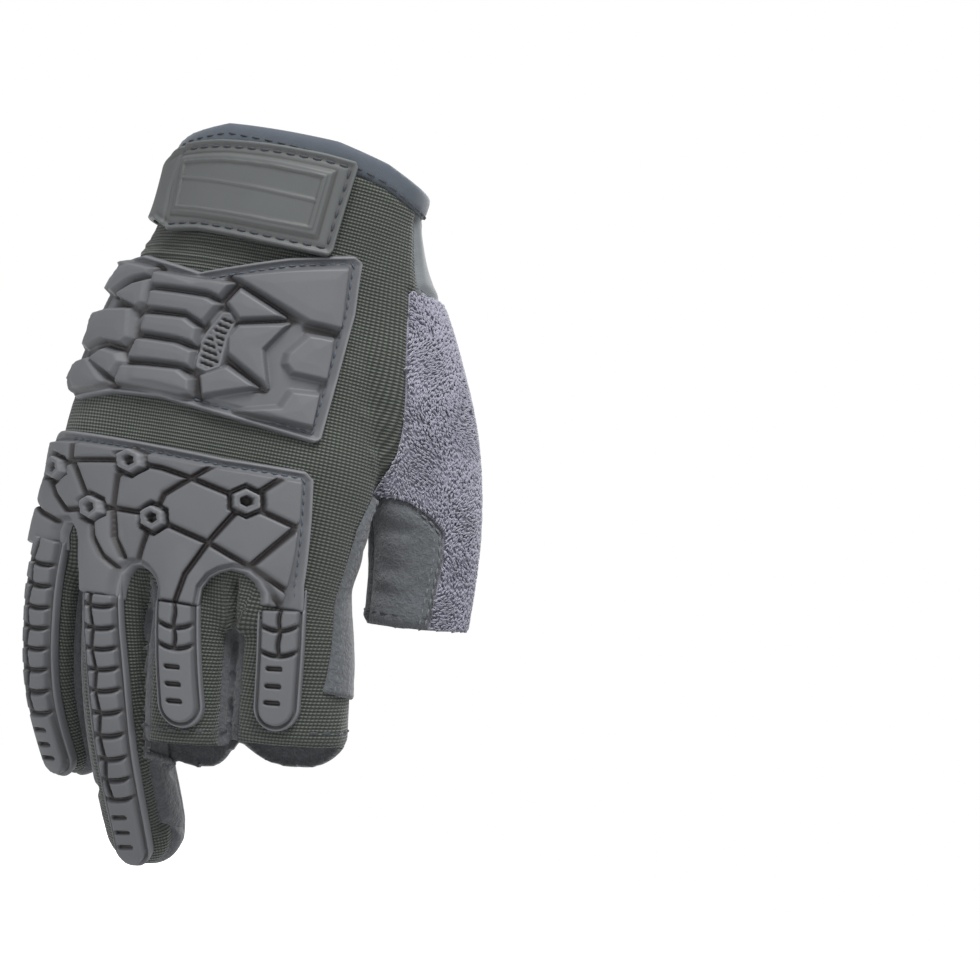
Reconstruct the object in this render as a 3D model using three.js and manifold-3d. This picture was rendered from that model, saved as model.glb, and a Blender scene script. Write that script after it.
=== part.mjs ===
import * as THREE from 'three';
import { mergeVertices } from 'three/addons/utils/BufferGeometryUtils.js';
import Module from 'manifold-3d';

// Tactical glove for a right hand, in millimetres. +Z runs up the forearm, the back of the hand
// faces -Y and the thumb is on the +X side. The origin is the middle of the wrist opening.

// Driving dimensions
const WALL = 1.6;
const GAP = 0.3;
const OPEN_END_OVERRUN = 8;
const BINDING = { height: 6, proud: 0.8 };
const STRAP = { lift: 1.8, thickness: 1.9, label: 1 };
const SEAT = 1;
const FLANGE = 2.1;
const ROOT = 0.7;
const BLOCK_LEAN = 0.06;
const GUARD_TOP = 4.6;
const VENT_TOP = 3.2;
const KNUCKLE_TOP = 4.2;
const NUT = { radius: 4.6, hole: 1.7, top: 5.4, floor: 2.4 };
const PATCH_TOP = 1.9;
const PAD = { base: 1.8, top: 3, pitch: 10.8, cell: 5.3, lean: 0.8, border: 6 };
const STRIP = { seat: 0.4, half: 6.8, rib: 5, top: 3.9, step: 11 };
const SIDE_STRIP_THICKNESS = 1.3;
// How far the spaces that cut the cloth run past the glove, and how far a finger's runs past its end.
const REACH = 100;
const PAST_END = 20;
// Half the spacing of the points that tell which way the palm's skin faces.
const FEEL = 5;

// Sections along a tube: centre, half width, depth to the back, depth to the palm, turn about
// the tube's own axis in degrees, and squareness (2 is an ellipse, more is boxier).
const SECTION = ['x', 'y', 'z', 'half', 'back', 'palm', 'turn', 'square'];
const named = (row) => Object.fromEntries(SECTION.map((name, i) => [name, row[i]]));
const sections = (rows) => rows.map(named);

// The hand and its fingers. arch curls the sides of the hand towards the palm, tip is the length
// of a closed round end, hem is how far the palm side of an open end runs past its back.
const TUBES = {
  hand: {
    arch: 3, tip: 0, hem: 0, sides: 20, innerSides: 12, lead: 12, blunt: true,
    rows: sections([
      [0.5, 1, 4, 40, 21, 21, 0, 2.3],
      [-1, 1, -26, 39, 20, 20, 0, 2.3],
      [-2.5, 1, -45, 43, 19.5, 20, -1, 2.3],
      [-4.5, 1.5, -70, 48, 19, 20, -4, 2.4],
      [-6, 2, -95, 51, 18.5, 18.5, -8, 2.5],
      [-6.6, 3.5, -118, 51, 17.5, 16.5, -12, 2.6],
      [-5.8, 5, -134, 49, 15.5, 14.5, -15, 2.6],
      [-6, 6, -142, 45, 12, 11, -16, 2.6],
    ]),
  },
  index: {
    arch: 0, tip: 0, hem: 5, sides: 10, innerSides: 8, lead: 0,
    rows: sections([
      [27, 0, -112, 13.5, 13, 12, 4, 2.2],
      [28.3, 0, -130, 15.3, 13.5, 13, 4, 2.2],
      [31.6, 2, -150, 17, 13, 13, 4, 2.2],
      [34.6, 6, -173, 17.6, 12.5, 13, 4, 2.2],
    ]),
  },
  middle: {
    arch: 0, tip: 0, hem: 5, sides: 10, innerSides: 8, lead: 0,
    rows: sections([
      [0, -1, -112, 12.5, 13, 12, 0, 2.2],
      [0, -1, -130, 13, 13.5, 13, 0, 2.2],
      [1.5, 1, -152, 13.5, 13, 13, 0, 2.2],
      [5, 5.5, -179, 13.5, 12.5, 13, 0, 2.2],
    ]),
  },
  ring: {
    arch: 0, tip: 12, hem: 0, sides: 10, innerSides: 8, lead: 0,
    rows: sections([
      [-25, 3, -112, 12, 12.5, 12, -10, 2.2],
      [-25, 3.5, -130, 12.5, 13, 12.5, -10, 2.2],
      [-23, 7, -152, 12.5, 12.5, 12.5, -10, 2.2],
      [-17, 14, -180, 12.3, 12, 12, -9, 2.2],
      [-9, 28, -207, 12.2, 10.8, 11.3, -6.5, 2.2],
    ]),
  },
  pinky: {
    arch: 0, tip: 9, hem: 0, sides: 10, innerSides: 8, lead: 0,
    rows: sections([
      [-44.5, 12, -108, 11.5, 12, 11, -28, 2.2],
      [-45.6, 14, -125, 11.5, 12, 11.5, -28, 2.2],
      [-46.2, 18, -145, 11.5, 11.5, 11.5, -27, 2.2],
      [-43.7, 25, -168, 11.2, 11, 11, -25, 2.2],
      [-37.7, 34.2, -187.5, 10.8, 9.8, 10, -23, 2.2],
    ]),
  },
  thumb: {
    arch: 0, tip: 0, hem: 0, sides: 10, innerSides: 8, lead: 0,
    rows: sections([
      [18, 4, -14, 21, 17, 16, 10, 2.2],
      [24, 6, -32, 21.5, 17, 16, 22, 2.2],
      [37, 10, -53, 21.5, 17, 17, 35, 2.2],
      [50, 14.5, -77, 20, 16, 16.5, 45, 2.2],
      [58, 19, -102, 17.5, 14.5, 14.5, 50, 2.2],
      [61, 23, -131, 16, 13.5, 13.5, 50, 2.2],
    ]),
  },
};

// Angles of the rings in a finger's round end.
const DOME = [0, 45, 78];

// The rim of the wrist opening, seen from the front: x and z.
const RIM = [[-60, -9], [-44, -4], [-33, 0.5], [-20, 4], [0, 4], [15, 3.8], [30, 1], [44, -4.5], [60, -14.5]];

// Patterns on the back are laid out round an upright axis inside the hand: degrees from -Y
// towards the thumb, and z.
const FAN = { x: -4, y: 12 };

// Flange of the metacarpal guard: degrees, its upper edge and its lower edge.
const METACARPAL_FLANGE = [
  [-82, -47, -80], [-76, -41, -85.5], [-60, -40, -83], [-40, -41.5, -82], [-22, -42, -83],
  [-6, -39, -83.5], [10, -36.5, -84], [30, -33, -85.5], [49, -31, -86.5], [54, -33, -84],
];

// Raised blocks of the metacarpal guard: upper edge and lower edge, from the little-finger side
// to the thumb side, as degrees and z.
const METACARPAL_BLOCKS = {
  outerTop: [[[-73, -42], [-60, -42], [-50, -44]], [[-73, -50], [-66, -50.5], [-52, -46.5]]],
  wedgeTop: [[[-62, -51], [-48, -46.5]], [[-63, -53], [-49, -55.5]]],
  outerMiddle: [[[-77, -57.5], [-64, -57], [-53, -57]], [[-77, -68.5], [-64, -66], [-52, -66.5]]],
  wedgeMiddle: [[[-66, -69.5], [-54, -70]], [[-69, -73], [-56, -78]]],
  outerLow: [[[-80, -74], [-70, -74.5], [-60, -80]], [[-81, -79.5], [-74, -83], [-62, -81.5]]],
  ribOne: [[[-45, -44.5], [-24, -44.5], [-3, -45]], [[-45, -48.5], [-24, -49], [-9, -49.5]]],
  ribTwo: [[[-44, -50.5], [-24, -50.5], [-8, -51.5]], [[-45, -56], [-24, -56], [-14, -58]]],
  ribThree: [[[-45, -57.5], [-24, -57.5], [-16, -59.5]], [[-46, -63.5], [-25, -63.5], [-16, -64.5]]],
  ribFour: [[[-47, -65.5], [-26, -65.5], [-16, -67]], [[-50, -72], [-26, -71.5], [-16, -72]]],
  ribFive: [[[-52, -73.5], [-30, -73], [-14, -75]], [[-54, -80], [-30, -80.5], [-12, -80]]],
  sliver: [[[-3, -50.5], [2, -47], [24, -51]], [[-2, -52], [4, -55], [24, -52]]],
  star: [[[0, -59], [14, -56], [27, -54]], [[1, -66], [22, -72.5], [21, -63]]],
  lowSliver: [[[-8, -73.5], [3, -69.5], [20, -74]], [[-7, -79], [6, -77.5], [20, -75]]],
  topPlate: [[[-3, -42.5], [22, -37], [46, -32]], [[2, -44.5], [33, -50.5], [48, -50.5]]],
  sidePlate: [[[31, -61], [36, -56], [46, -55]], [[32, -67.5], [38, -68], [47, -68]]],
  lowPlate: [[[12, -80.5], [32, -76], [45, -72]], [[14, -81.5], [32, -83], [46, -83]]],
};
const VENT = [[[-12, -64], [-7, -57], [-1, -58]], [[-12, -68], [-8, -69.5], [-2, -67]]];

// Plate of the knuckle guard: degrees, its upper edge and its lower edge, which drops into a lobe
// over each finger.
const KNUCKLE_PLATE = [
  [-86, -100, -137], [-77.5, -95.5, -138], [-74, -95, -127], [-68, -95, -127],
  [-60, -95.5, -143], [-45, -95.5, -143.5], [-41, -95.5, -134], [-34, -95.5, -131.5],
  [-27, -95.5, -133], [-16, -96, -139], [-12, -96, -145.5], [10, -96, -145.5],
  [16, -96, -133], [25, -95.5, -129], [34, -95, -129.5], [41, -95, -136],
  [46, -94.5, -144], [54, -108, -142],
];

// Raised cells of the knuckle guard, between its grooves: upper edge and lower edge again.
const KNUCKLE_CELLS = {
  topPinky: [[[-77, -97], [-70, -97]], [[-78, -106], [-70, -103]]],
  topRing: [[[-67, -97], [-41, -97]], [[-66, -102], [-38, -100.5]]],
  topMiddle: [[[-37, -97], [-14, -97], [8, -97.5]], [[-31, -100.8], [-16, -101.3], [-3, -102]]],
  topIndex: [[[13, -97.5], [37, -96.5]], [[1, -103], [26, -105.5]]],
  topCorner: [[[41, -96.5], [49, -98]], [[29, -106], [49, -110]]],
  midPinky: [[[-78, -110], [-68, -105.5]], [[-71, -118], [-62, -114.5]]],
  midRingOuter: [[[-65, -105], [-48, -104]], [[-60, -114.5], [-48, -115]]],
  midRing: [[[-44, -104], [-24, -104], [-6, -105]], [[-44, -115], [-29, -115], [-20, -110.5]]],
  midMiddle: [[[-14, -111], [2, -106], [23, -109]], [[-7, -117.5], [2, -118.5], [13, -120]]],
  midIndex: [[[27, -110], [46, -113.5]], [[17, -120], [35, -124]]],
  midCorner: [[[48, -115], [51, -118]], [[38, -125], [52, -129]]],
  lobePinky: [[[-85, -112], [-73, -121]], [[-86, -136], [-78, -136]]],
  lobeRing: [[[-67, -121], [-57, -119.5], [-48, -118.5]], [[-62, -134], [-55, -138], [-46, -135]]],
  lobeBetween: [[[-45, -118.5], [-30, -118.5]], [[-39, -131], [-30, -130.5]]],
  lobeMiddle: [[[-27, -118.5], [-9, -121], [11, -123.5]], [[-22, -132], [-11, -138], [4, -137]]],
  lobeInner: [[[15, -124], [32, -127.5]], [[8, -136], [17, -130]]],
  lobeIndex: [[[37, -128], [52, -132]], [[45, -142], [53, -139]]],
};

// Hexagonal bosses on the groove crossings: degrees, z and distance from the fan's axis.
const NUTS = [
  { turn: -76, z: -107, reach: 46 },
  { turn: -39, z: -102, reach: 38 },
  { turn: -57, z: -117.5, reach: 42 },
  { turn: -21.5, z: -117.5, reach: 32 },
  { turn: 27, z: -107.5, reach: 35 },
];

// Finger strips of the knuckle guard: where a strip starts and ends, as distances along the
// finger, how far its ends lie aside of the finger's middle, and its runs of ribs: first rib,
// count, pitch and length of a rib.
const STRIPS = {
  index: { from: 24, to: 57, aside: [0, -0.5], runs: [[26, 2, 6.5, 5.4], [40, 1, 0, 14]] },
  middle: { from: 26, to: 63, aside: [-3, 1.2], runs: [[30, 2, 6.5, 5.4], [44, 1, 0, 16]] },
  ring: { from: 25, to: 109, aside: [-0.7, 0.8], runs: [[28, 10, 6.1, 5], [91, 1, 0, 13.5]] },
  pinky: { from: 20, to: 89.5, aside: [0, 0], runs: [[22, 8, 6, 4.9], [70.5, 1, 0, 14]] },
};

// The strap, from its end on the back round the little-finger side to its point on the palm:
// degrees round the wrist from the back (-90 is the little-finger side), upper and lower edge.
const STRAP_BAND = [
  [27, -1.2, -29], [14, -1.2, -30], [0, -1.8, -31], [-25, -4, -32], [-45, -6, -33],
  [-62, -9, -30], [-80, -12, -29.5], [-100, -13, -29], [-122, -9.5, -28], [-140, -4, -27],
  [-160, -1.5, -25.5], [-185, -1.5, -24], [-205, -2.5, -22.5], [-222, -3.2, -13], [-236, -3.5, -5.5],
];
const LABEL_PLATE = [[19, -5.8, -26], [4, -6.2, -27], [-10, -7, -27.5], [-32, -8, -28.5], [-44, -9, -29]];

// Pieces on the palm: x, upper edge and lower edge.
const PATCH = [
  [-55, -98, -115], [-51, -95, -122], [-44, -97, -123.5], [-34, -100, -122], [-23, -102.5, -128.5],
  [-14, -105, -132], [-4, -107, -132], [7, -107, -134.5], [17, -102, -132.5], [24, -100, -130.5],
  [32, -102.5, -133], [37, -105.5, -131], [39.5, -109, -126],
];
const ULNAR_PAD = [
  [-51, -74, -84], [-46, -59, -87], [-40.5, -47, -89], [-33, -37.5, -92],
  [-26, -35, -92], [-18.5, -34.5, -91], [-12, -35, -87], [-6.5, -37.5, -80],
];
const RADIAL_PAD = [
  [-3, -59, -80], [1, -47, -87], [6, -37, -89.5], [14, -34.5, -90.5], [21, -35.5, -91.5], [27.5, -39, -92],
  [33.5, -47, -91.5], [38, -65, -90], [41, -79, -86],
];
// The strip beside the index finger: y, upper end and lower end. It is found from a start between
// the finger and the thumb, and below the thumb's end from further out.
const SIDE_STRIP = [[-4, -107, -158], [0.5, -107, -165], [5, -107, -165]];
const SIDE_STRIP_START = { besideThumb: 46, belowThumb: 60 };
// The panel beside the wrist's slit, in x and z.
const SLIT_GUSSET = { top: 2.4, near: 8, far: 40, outline: [[-70, -46], [-42, -46], [-36, -31], [-70, -31]] };

// Cloth seams
const WRIST_SEAM = [[-80, -26], [25, -26], [48, -33], [90, -33]];
const BACK_SEAM = { ulnar: 2.5, radial: -7.5, reach: 80, depth: 45, length: 147 };
const FINGER_SEAM = { back: -4, palm: 5, reach: 18.5, start: 14 };
// Panels between two fingers: from above their crotch to below the shorter one's end.
const FOURCHETTES = [
  { first: 'pinky', second: 'ring', top: -124, bottom: -199 },
  { first: 'ring', second: 'middle', top: -124, bottom: -205 },
  { first: 'middle', second: 'index', top: -124, bottom: -176 },
];
// The inner side of the thumb: its seam's plane, and its edges across the thumb.
const GUSSET_FACE = { x: 50, z: -90, toX: 0.89, toZ: -0.46 };
const GUSSET_EDGE = { across: -5, palm: 4, start: 80, depth: 40 };
const THUMB_END = -134;
// Front edge of the towelling: distance along the thumb and distance across it.
const TERRY_EDGE = [[22, 10], [30, 4], [40, -2], [50, -6], [62, -12], [78, -15], [92, -9], [103, -6], [140, -6]];
const TERRY = { start: 22, top: -34, palm: 6, back: -30, outer: 40 };

const wasm = await Module();
wasm.setup();
const { Manifold, Mesh } = wasm;

// A closed solid from points and triangles, turned to face outwards.
function solid(points, faces) {
  const share = ([i, j, k]) => points[i].clone().cross(points[j]).dot(points[k]);
  const inwards = faces.reduce((sum, face) => sum + share(face), 0) < 0;
  const turned = inwards ? faces.map(([i, j, k]) => [i, k, j]) : faces;
  return new Manifold(new Mesh({
    numProp: 3,
    vertProperties: new Float32Array(points.flatMap((p) => p.toArray())),
    triVerts: new Uint32Array(turned.flat()),
  }));
}

// A solid through rings of equally many points. A ring closes with a fan to its middle or, where
// it goes out along one face of a thin wall and back along the other, with a ladder between them.
function loft(rings, thin = false) {
  const n = rings[0].length;
  const points = rings.flat();
  const faces = [];
  for (let r = 0; r + 1 < rings.length; r += 1) {
    for (let i = 0; i < n; i += 1) {
      const j = (i + 1) % n;
      const [a, b, c, d] = [r * n + i, r * n + j, (r + 1) * n + j, (r + 1) * n + i];
      if (thin && i >= n / 2) faces.push([a, b, d], [b, c, d]);
      else faces.push([a, b, c], [a, c, d]);
    }
  }
  for (const start of [0, (rings.length - 1) * n]) {
    const add = (...corners) => faces.push(start ? corners : corners.toReversed());
    if (thin) {
      for (let i = 0; i + 1 < n / 2; i += 1) {
        const [a, b, c, d] = [i, i + 1, n - 2 - i, n - 1 - i].map((k) => start + k);
        add(a, b, c);
        add(a, c, d);
      }
    } else {
      for (let i = 0; i < n; i += 1) add(points.length, start + i, start + ((i + 1) % n));
      const ring = points.slice(start, start + n);
      points.push(ring.reduce((sum, p) => sum.add(p), new THREE.Vector3()).divideScalar(n));
    }
  }
  return solid(points, faces);
}

// A Catmull-Rom curve through the rows of a table, at t rows from its start.
function sectionAt(rows, t) {
  const i = THREE.MathUtils.clamp(Math.floor(t), 0, rows.length - 2);
  const f = t - i;
  const at = (k) => rows[THREE.MathUtils.clamp(k, 0, rows.length - 1)];
  const blend = (name) => {
    const [a, b, c, d] = [at(i - 1)[name], at(i)[name], at(i + 1)[name], at(i + 2)[name]];
    return b + 0.5 * f * (c - a + f * (2 * a - 5 * b + 4 * c - d + f * (3 * (b - c) + d - a)));
  };
  return Object.fromEntries(SECTION.map((name) => [name, blend(name)]));
}

// A section with its centre and its directions: along the tube, across it and towards the palm.
function stationAt(tube, t) {
  const section = sectionAt(tube.rows, t);
  const ahead = sectionAt(tube.rows, Math.min(t + 0.1, tube.rows.length - 1));
  const behind = sectionAt(tube.rows, Math.max(t - 0.1, 0));
  const along = new THREE.Vector3().subVectors(ahead, behind).normalize();
  const turn = THREE.MathUtils.degToRad(section.turn);
  const across = new THREE.Vector3(Math.cos(turn), Math.sin(turn), 0).projectOnPlane(along).normalize();
  const palmar = new THREE.Vector3().crossVectors(along, across);
  if (palmar.y < 0) palmar.negate();
  return { ...section, centre: new THREE.Vector3(section.x, section.y, section.z), along, across, palmar };
}

// A point of a station: u across, v towards the palm, w along the tube.
function placed(station, u, v, w = 0) {
  return station.centre.clone().addScaledVector(station.across, u)
    .addScaledVector(station.palmar, v).addScaledVector(station.along, w);
}

// Length of the straight lines between the rows of a tube.
function lengthOf({ rows }) {
  const places = rows.map(({ x, y, z }) => new THREE.Vector3(x, y, z));
  return places.slice(1).reduce((sum, place, i) => sum + place.distanceTo(places[i]), 0);
}

// The row number at a distance along a tube's centre line, from a fine walk along it.
function rowAtDistance(tube, distance) {
  const step = 0.02;
  let walked = 0;
  let here = stationAt(tube, 0).centre;
  for (let t = step; t < tube.rows.length - 1; t += step) {
    const next = stationAt(tube, t).centre;
    walked += next.distanceTo(here);
    if (walked >= distance) return t;
    here = next;
  }
  return tube.rows.length - 1;
}

// The columns of a table after its first, at a place in its first.
function tableAt(rows, place) {
  const next = Math.max(1, rows.findIndex(([here]) => here >= place));
  const [a, b] = [rows[next - 1], rows[next]];
  return a.slice(1).map((value, i) => THREE.MathUtils.mapLinear(place, a[0], b[0], value, b[i + 1]));
}

// The row number where a tube passes a height.
function rowAtHeight(tube, z) {
  let [low, high] = [0, tube.rows.length - 1];
  for (let i = 0; i < 24; i += 1) {
    const middle = (low + high) / 2;
    if (sectionAt(tube.rows, middle).z > z) low = middle;
    else high = middle;
  }
  return low;
}

// One ring of a tube: a superellipse, deeper to the back or to the palm, with arched sides.
function ringAt(tube, station, grow, scale, push) {
  const sides = grow < 0 ? tube.innerSides : tube.sides;
  return Array.from({ length: sides }, (_, i) => {
    const angle = (2 * Math.PI * (i + 0.5)) / sides;
    const [c, s] = [Math.cos(angle), Math.sin(angle)];
    const across = Math.sign(c) * Math.abs(c) ** (2 / station.square);
    const towards = Math.sign(s) * Math.abs(s) ** (2 / station.square);
    const depth = (s < 0 ? station.back : station.palm) + grow;
    const u = (station.half + grow) * across * scale;
    const v = (depth * towards + tube.arch * across * across) * scale;
    return placed(station, u, v, push + tube.hem * Math.max(0, s) ** 2 * (push === 0 ? 1 : 0));
  });
}

// One tube as a solid, grown outwards or, below zero, shrunk. An inner tube runs past open ends.
function tubeSolid(tube, grow, overrun = 0) {
  const stations = tube.rows.map((_, i) => stationAt(tube, i));
  const end = stations.pop();
  const straight = { ...tube, hem: 0 };
  const rings = stations.map((station) => ringAt(straight, station, grow, 1, 0));
  if (tube.lead) rings.unshift(ringAt(straight, stations[0], grow, 1, -tube.lead - overrun));
  if (tube.tip) {
    for (const degrees of DOME) {
      const a = THREE.MathUtils.degToRad(degrees);
      rings.push(ringAt(tube, end, grow, Math.cos(a), (tube.tip + grow) * Math.sin(a)));
    }
  } else {
    rings.push(ringAt(tube, end, grow, 1, tube.blunt ? grow : overrun));
  }
  return loft(rings);
}

// All tubes joined.
const join = (parts) => parts.reduce((sum, part) => sum.add(part));
const skin = (grow, overrun = 0) => join(
  Object.values(TUBES).map((tube) => tubeSolid(tube, grow, overrun)));

// A solid swept along part of a tube: outline gives pairs of u and v at a distance along it. Where
// past is given, it runs on straight by that much.
function band(tube, outline, from, to, steps, past = 0) {
  const rings = Array.from({ length: steps + 1 }, (_, i) => {
    const distance = from + ((to - from) * i) / steps;
    const station = stationAt(tube, rowAtDistance(tube, distance));
    return outline(distance).map(([u, v]) => placed(station, u, v));
  });
  const end = stationAt(tube, rowAtDistance(tube, to));
  if (past) rings.push(outline(to).map(([u, v]) => placed(end, u, v, past)));
  return loft(rings);
}

// A prism along Y, on an outline in x and z.
function slab(outline, near = -REACH, far = REACH) {
  const flat = outline.map(([a, b]) => new THREE.Vector2(a, b));
  if (THREE.ShapeUtils.isClockWise(flat)) flat.reverse();
  const n = flat.length;
  const points = [near, far].flatMap((y) => flat.map((p) => new THREE.Vector3(p.x, y, p.y)));
  const caps = THREE.ShapeUtils.triangulateShape(flat, []);
  const faces = caps.flatMap(([i, j, k]) => [[i, k, j], [i + n, j + n, k + n]]);
  for (let i = 0; i < n; i += 1) {
    const j = (i + 1) % n;
    faces.push([i, j, j + n], [i, j + n, i + n]);
  }
  return solid(points, faces);
}

// A hexagon in degrees and z.
function hexagon({ turn, z, reach }, radius) {
  const perDegree = (Math.PI / 180) * reach;
  return Array.from({ length: 6 }, (_, i) => {
    const angle = (Math.PI / 3) * i + 0.2;
    return [turn + (radius * Math.cos(angle)) / perDegree, z + radius * Math.sin(angle)];
  });
}

// The largest body of a solid that a cut left in pieces.
const largest = (whole) => whole.decompose().sort((a, b) => b.volume() - a.volume())[0];

// Space above the rim less some height, and space above the seam under the wrist.
function aboveRim(lower) {
  const curve = new THREE.SplineCurve(RIM.map(([x, z]) => new THREE.Vector2(x, z - lower)));
  return above(curve.getPoints(8).map((p) => [p.x, p.y]));
}
const above = (line) => slab([...line, [line.at(-1)[0], REACH], [line[0][0], REACH]]);
const aboveWristSeam = (shift) => above(WRIST_SEAM.map(([x, z]) => [x, z - shift]));

// Space behind the side seams of the hand and of the fingers, moved towards the palm by shift.
function backSpace(shift) {
  const { ulnar, radial, reach, depth, length } = BACK_SEAM;
  const hand = [[-reach, ulnar + shift], [reach, radial + shift], [reach, -depth], [-reach, -depth]];
  const top = stationAt(TUBES.hand, 0);
  const cuff = loft([-PAST_END, 0].map((w) => hand.map(([u, v]) => placed(top, u, v, w))));
  const wide = FINGER_SEAM.reach;
  const level = FINGER_SEAM.back + shift;
  const finger = [[-wide, level], [wide, level], [wide, -depth], [-wide, -depth]];
  const fingers = ['index', 'middle', 'ring', 'pinky'].map((name) => {
    const tube = TUBES[name];
    return band(tube, () => finger, FINGER_SEAM.start, lengthOf(tube), 4, PAST_END);
  });
  return join([cuff, band(TUBES.hand, () => hand, 0, length, 3), ...fingers]);
}

// Space between two neighbouring fingers: from one centre line to the other.
function betweenFingers({ first, second, top, bottom }, shift) {
  const [from, to] = [FINGER_SEAM.back - shift, FINGER_SEAM.palm + shift];
  return loft([0, 1, 2, 3].map((level) => {
    const z = THREE.MathUtils.lerp(top + shift, bottom - shift, level / 3);
    const [a, b] = [TUBES[first], TUBES[second]].map((tube) => {
      const station = stationAt(tube, rowAtHeight(tube, z));
      if (z < tube.rows.at(-1).z) station.centre.z = z;
      return station;
    });
    return [placed(a, 0, from), placed(b, 0, from), placed(b, 0, to), placed(a, 0, to)];
  }));
}

// Space over the towelling on the outer side of the thumb.
function terrySpace(shift) {
  const { start, top, palm, back, outer } = TERRY;
  const edge = (distance) => tableAt(TERRY_EDGE, distance)[0] - shift;
  const outline = (distance) => [
    [edge(distance), back], [outer, back], [outer, palm + shift], [edge(distance), palm + shift],
  ];
  const tube = TUBES.thumb;
  const below = above([[0, top + shift], [REACH, top + shift]]);
  return band(tube, outline, start - shift, lengthOf(tube), 6, PAST_END).subtract(below);
}

// Space round the inner side of the thumb, beyond its seam's plane.
function gussetSpace(shift) {
  const { x, z, toX, toZ } = GUSSET_FACE;
  const corner = (along, beyond) => [
    x - shift * toX - along * toZ + beyond * toX, z - shift * toZ + along * toX + beyond * toZ,
  ];
  const beyond = slab([corner(REACH, 0), corner(-REACH, 0), corner(-REACH, REACH), corner(REACH, REACH)]);
  const { across, palm, start, depth } = GUSSET_EDGE;
  const [side, front] = [across + shift, palm + shift];
  const outline = [[-depth, -depth], [side, -depth], [side, front], [-depth, front]];
  const tube = TUBES.thumb;
  return band(tube, () => outline, start, lengthOf(tube), 2, PAST_END)
    .intersect(beyond).intersect(tubeSolid(tube, FLANGE, PAST_END));
}

// Cuts the cloth shell into its panels, each a small gap from the next.
function clothPanels() {
  const rim = aboveRim(0);
  const hollow = skin(-WALL, OPEN_END_OVERRUN);
  const binding = skin(BINDING.proud).subtract(hollow).intersect(aboveRim(BINDING.height)).subtract(rim);
  let rest = skin(0).subtract(hollow).subtract(aboveRim(BINDING.height + GAP));
  const panels = { cuff_binding: binding };
  const take = (name, space) => {
    panels[name] = rest.intersect(space(0));
    rest = rest.subtract(space(GAP));
  };
  take('terry_panel', terrySpace);
  take('thumb_gusset', gussetSpace);
  for (const pair of FOURCHETTES) {
    take(`fourchette_${pair.first}_${pair.second}`, (shift) => betweenFingers(pair, shift));
  }
  take('back_panel', backSpace);
  take('wrist_panel', aboveWristSeam);
  panels.palm_panel = rest;
  return Object.fromEntries(Object.entries(panels).map(([name, panel]) => [name, largest(panel)]));
}

// The skin as a mesh, to find how far it lies from the fan's axis.
const bothSides = new THREE.MeshBasicMaterial({ side: THREE.DoubleSide });
const skinMesh = new THREE.Mesh(geometryOf(skin(0)), bothSides);
const caster = new THREE.Raycaster();

// A point above the skin, at a turn round the fan's axis and a height.
function onSkin([degrees, z], lift) {
  const turn = THREE.MathUtils.degToRad(degrees);
  const out = new THREE.Vector3(Math.sin(turn), -Math.cos(turn), 0);
  const origin = new THREE.Vector3(FAN.x, FAN.y, z);
  caster.set(origin, out);
  const reach = caster.intersectObject(skinMesh).at(-1).distance;
  return origin.addScaledVector(out, reach + lift);
}

// A curved plate on columns of a place, an upper edge and a lower edge; at puts a point of a
// column at a lift.
function sheet(columns, spans, low, high, at = (place, z, lift) => onSkin([place, z], lift)) {
  const steps = Array.from({ length: spans + 1 }, (_, i) => i / spans);
  return loft(columns.map(([place, top, bottom]) => {
    const line = (lift) => steps.map((share) => at(place, THREE.MathUtils.lerp(top, bottom, share), lift));
    return [...line(high), ...line(low).toReversed()];
  }), true);
}

// A raised block between an upper and a lower edge, with sides that lean in a little.
function block([upper, lower], low, high) {
  const inner = (p, q) => p.map((value, k) => THREE.MathUtils.lerp(value, q[k], BLOCK_LEAN));
  return loft(upper.map((top, i) => {
    const bottom = lower[i];
    const face = [inner(top, bottom), inner(bottom, top)].map((p) => onSkin(p, high));
    return [...face, onSkin(bottom, low), onSkin(top, low)];
  }), true);
}

// A moulded plate on the back: a thin flange with raised blocks on it.
function metacarpalGuard() {
  const flange = sheet(METACARPAL_FLANGE, 2, SEAT, FLANGE);
  const blocks = Object.values(METACARPAL_BLOCKS).map((edges) => block(edges, FLANGE - ROOT, GUARD_TOP));
  return join([flange, ...blocks, block(VENT, FLANGE - ROOT, VENT_TOP)]).subtract(skin(GAP));
}

// A point over the back of a finger: distance along it, u across it, lift above its skin.
function overFinger(tube, distance, u, lift) {
  const past = Math.max(0, distance - lengthOf(tube));
  const station = stationAt(tube, rowAtDistance(tube, distance));
  const rise = tube.tip ? past / tube.tip : 0;
  const scale = Math.sqrt(1 - rise * rise);
  const share = Math.min(1, Math.abs(u) / ((station.half + lift) * scale));
  const v = -(station.back + lift) * scale * (1 - share ** station.square) ** (1 / station.square);
  return placed(station, u, v, past + lift * rise);
}

// A strip over the back of a finger, from one distance to another.
function overStrip({ tube, aside }, from, to, half, low, high, steps, places) {
  return loft(Array.from({ length: steps + 1 }, (_, i) => {
    const distance = from + ((to - from) * i) / steps;
    const middle = aside(distance);
    const line = (lift) => places.map((share) => overFinger(tube, distance, middle + share * half, lift));
    return [...line(high), ...line(low).toReversed()];
  }), true);
}

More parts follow.
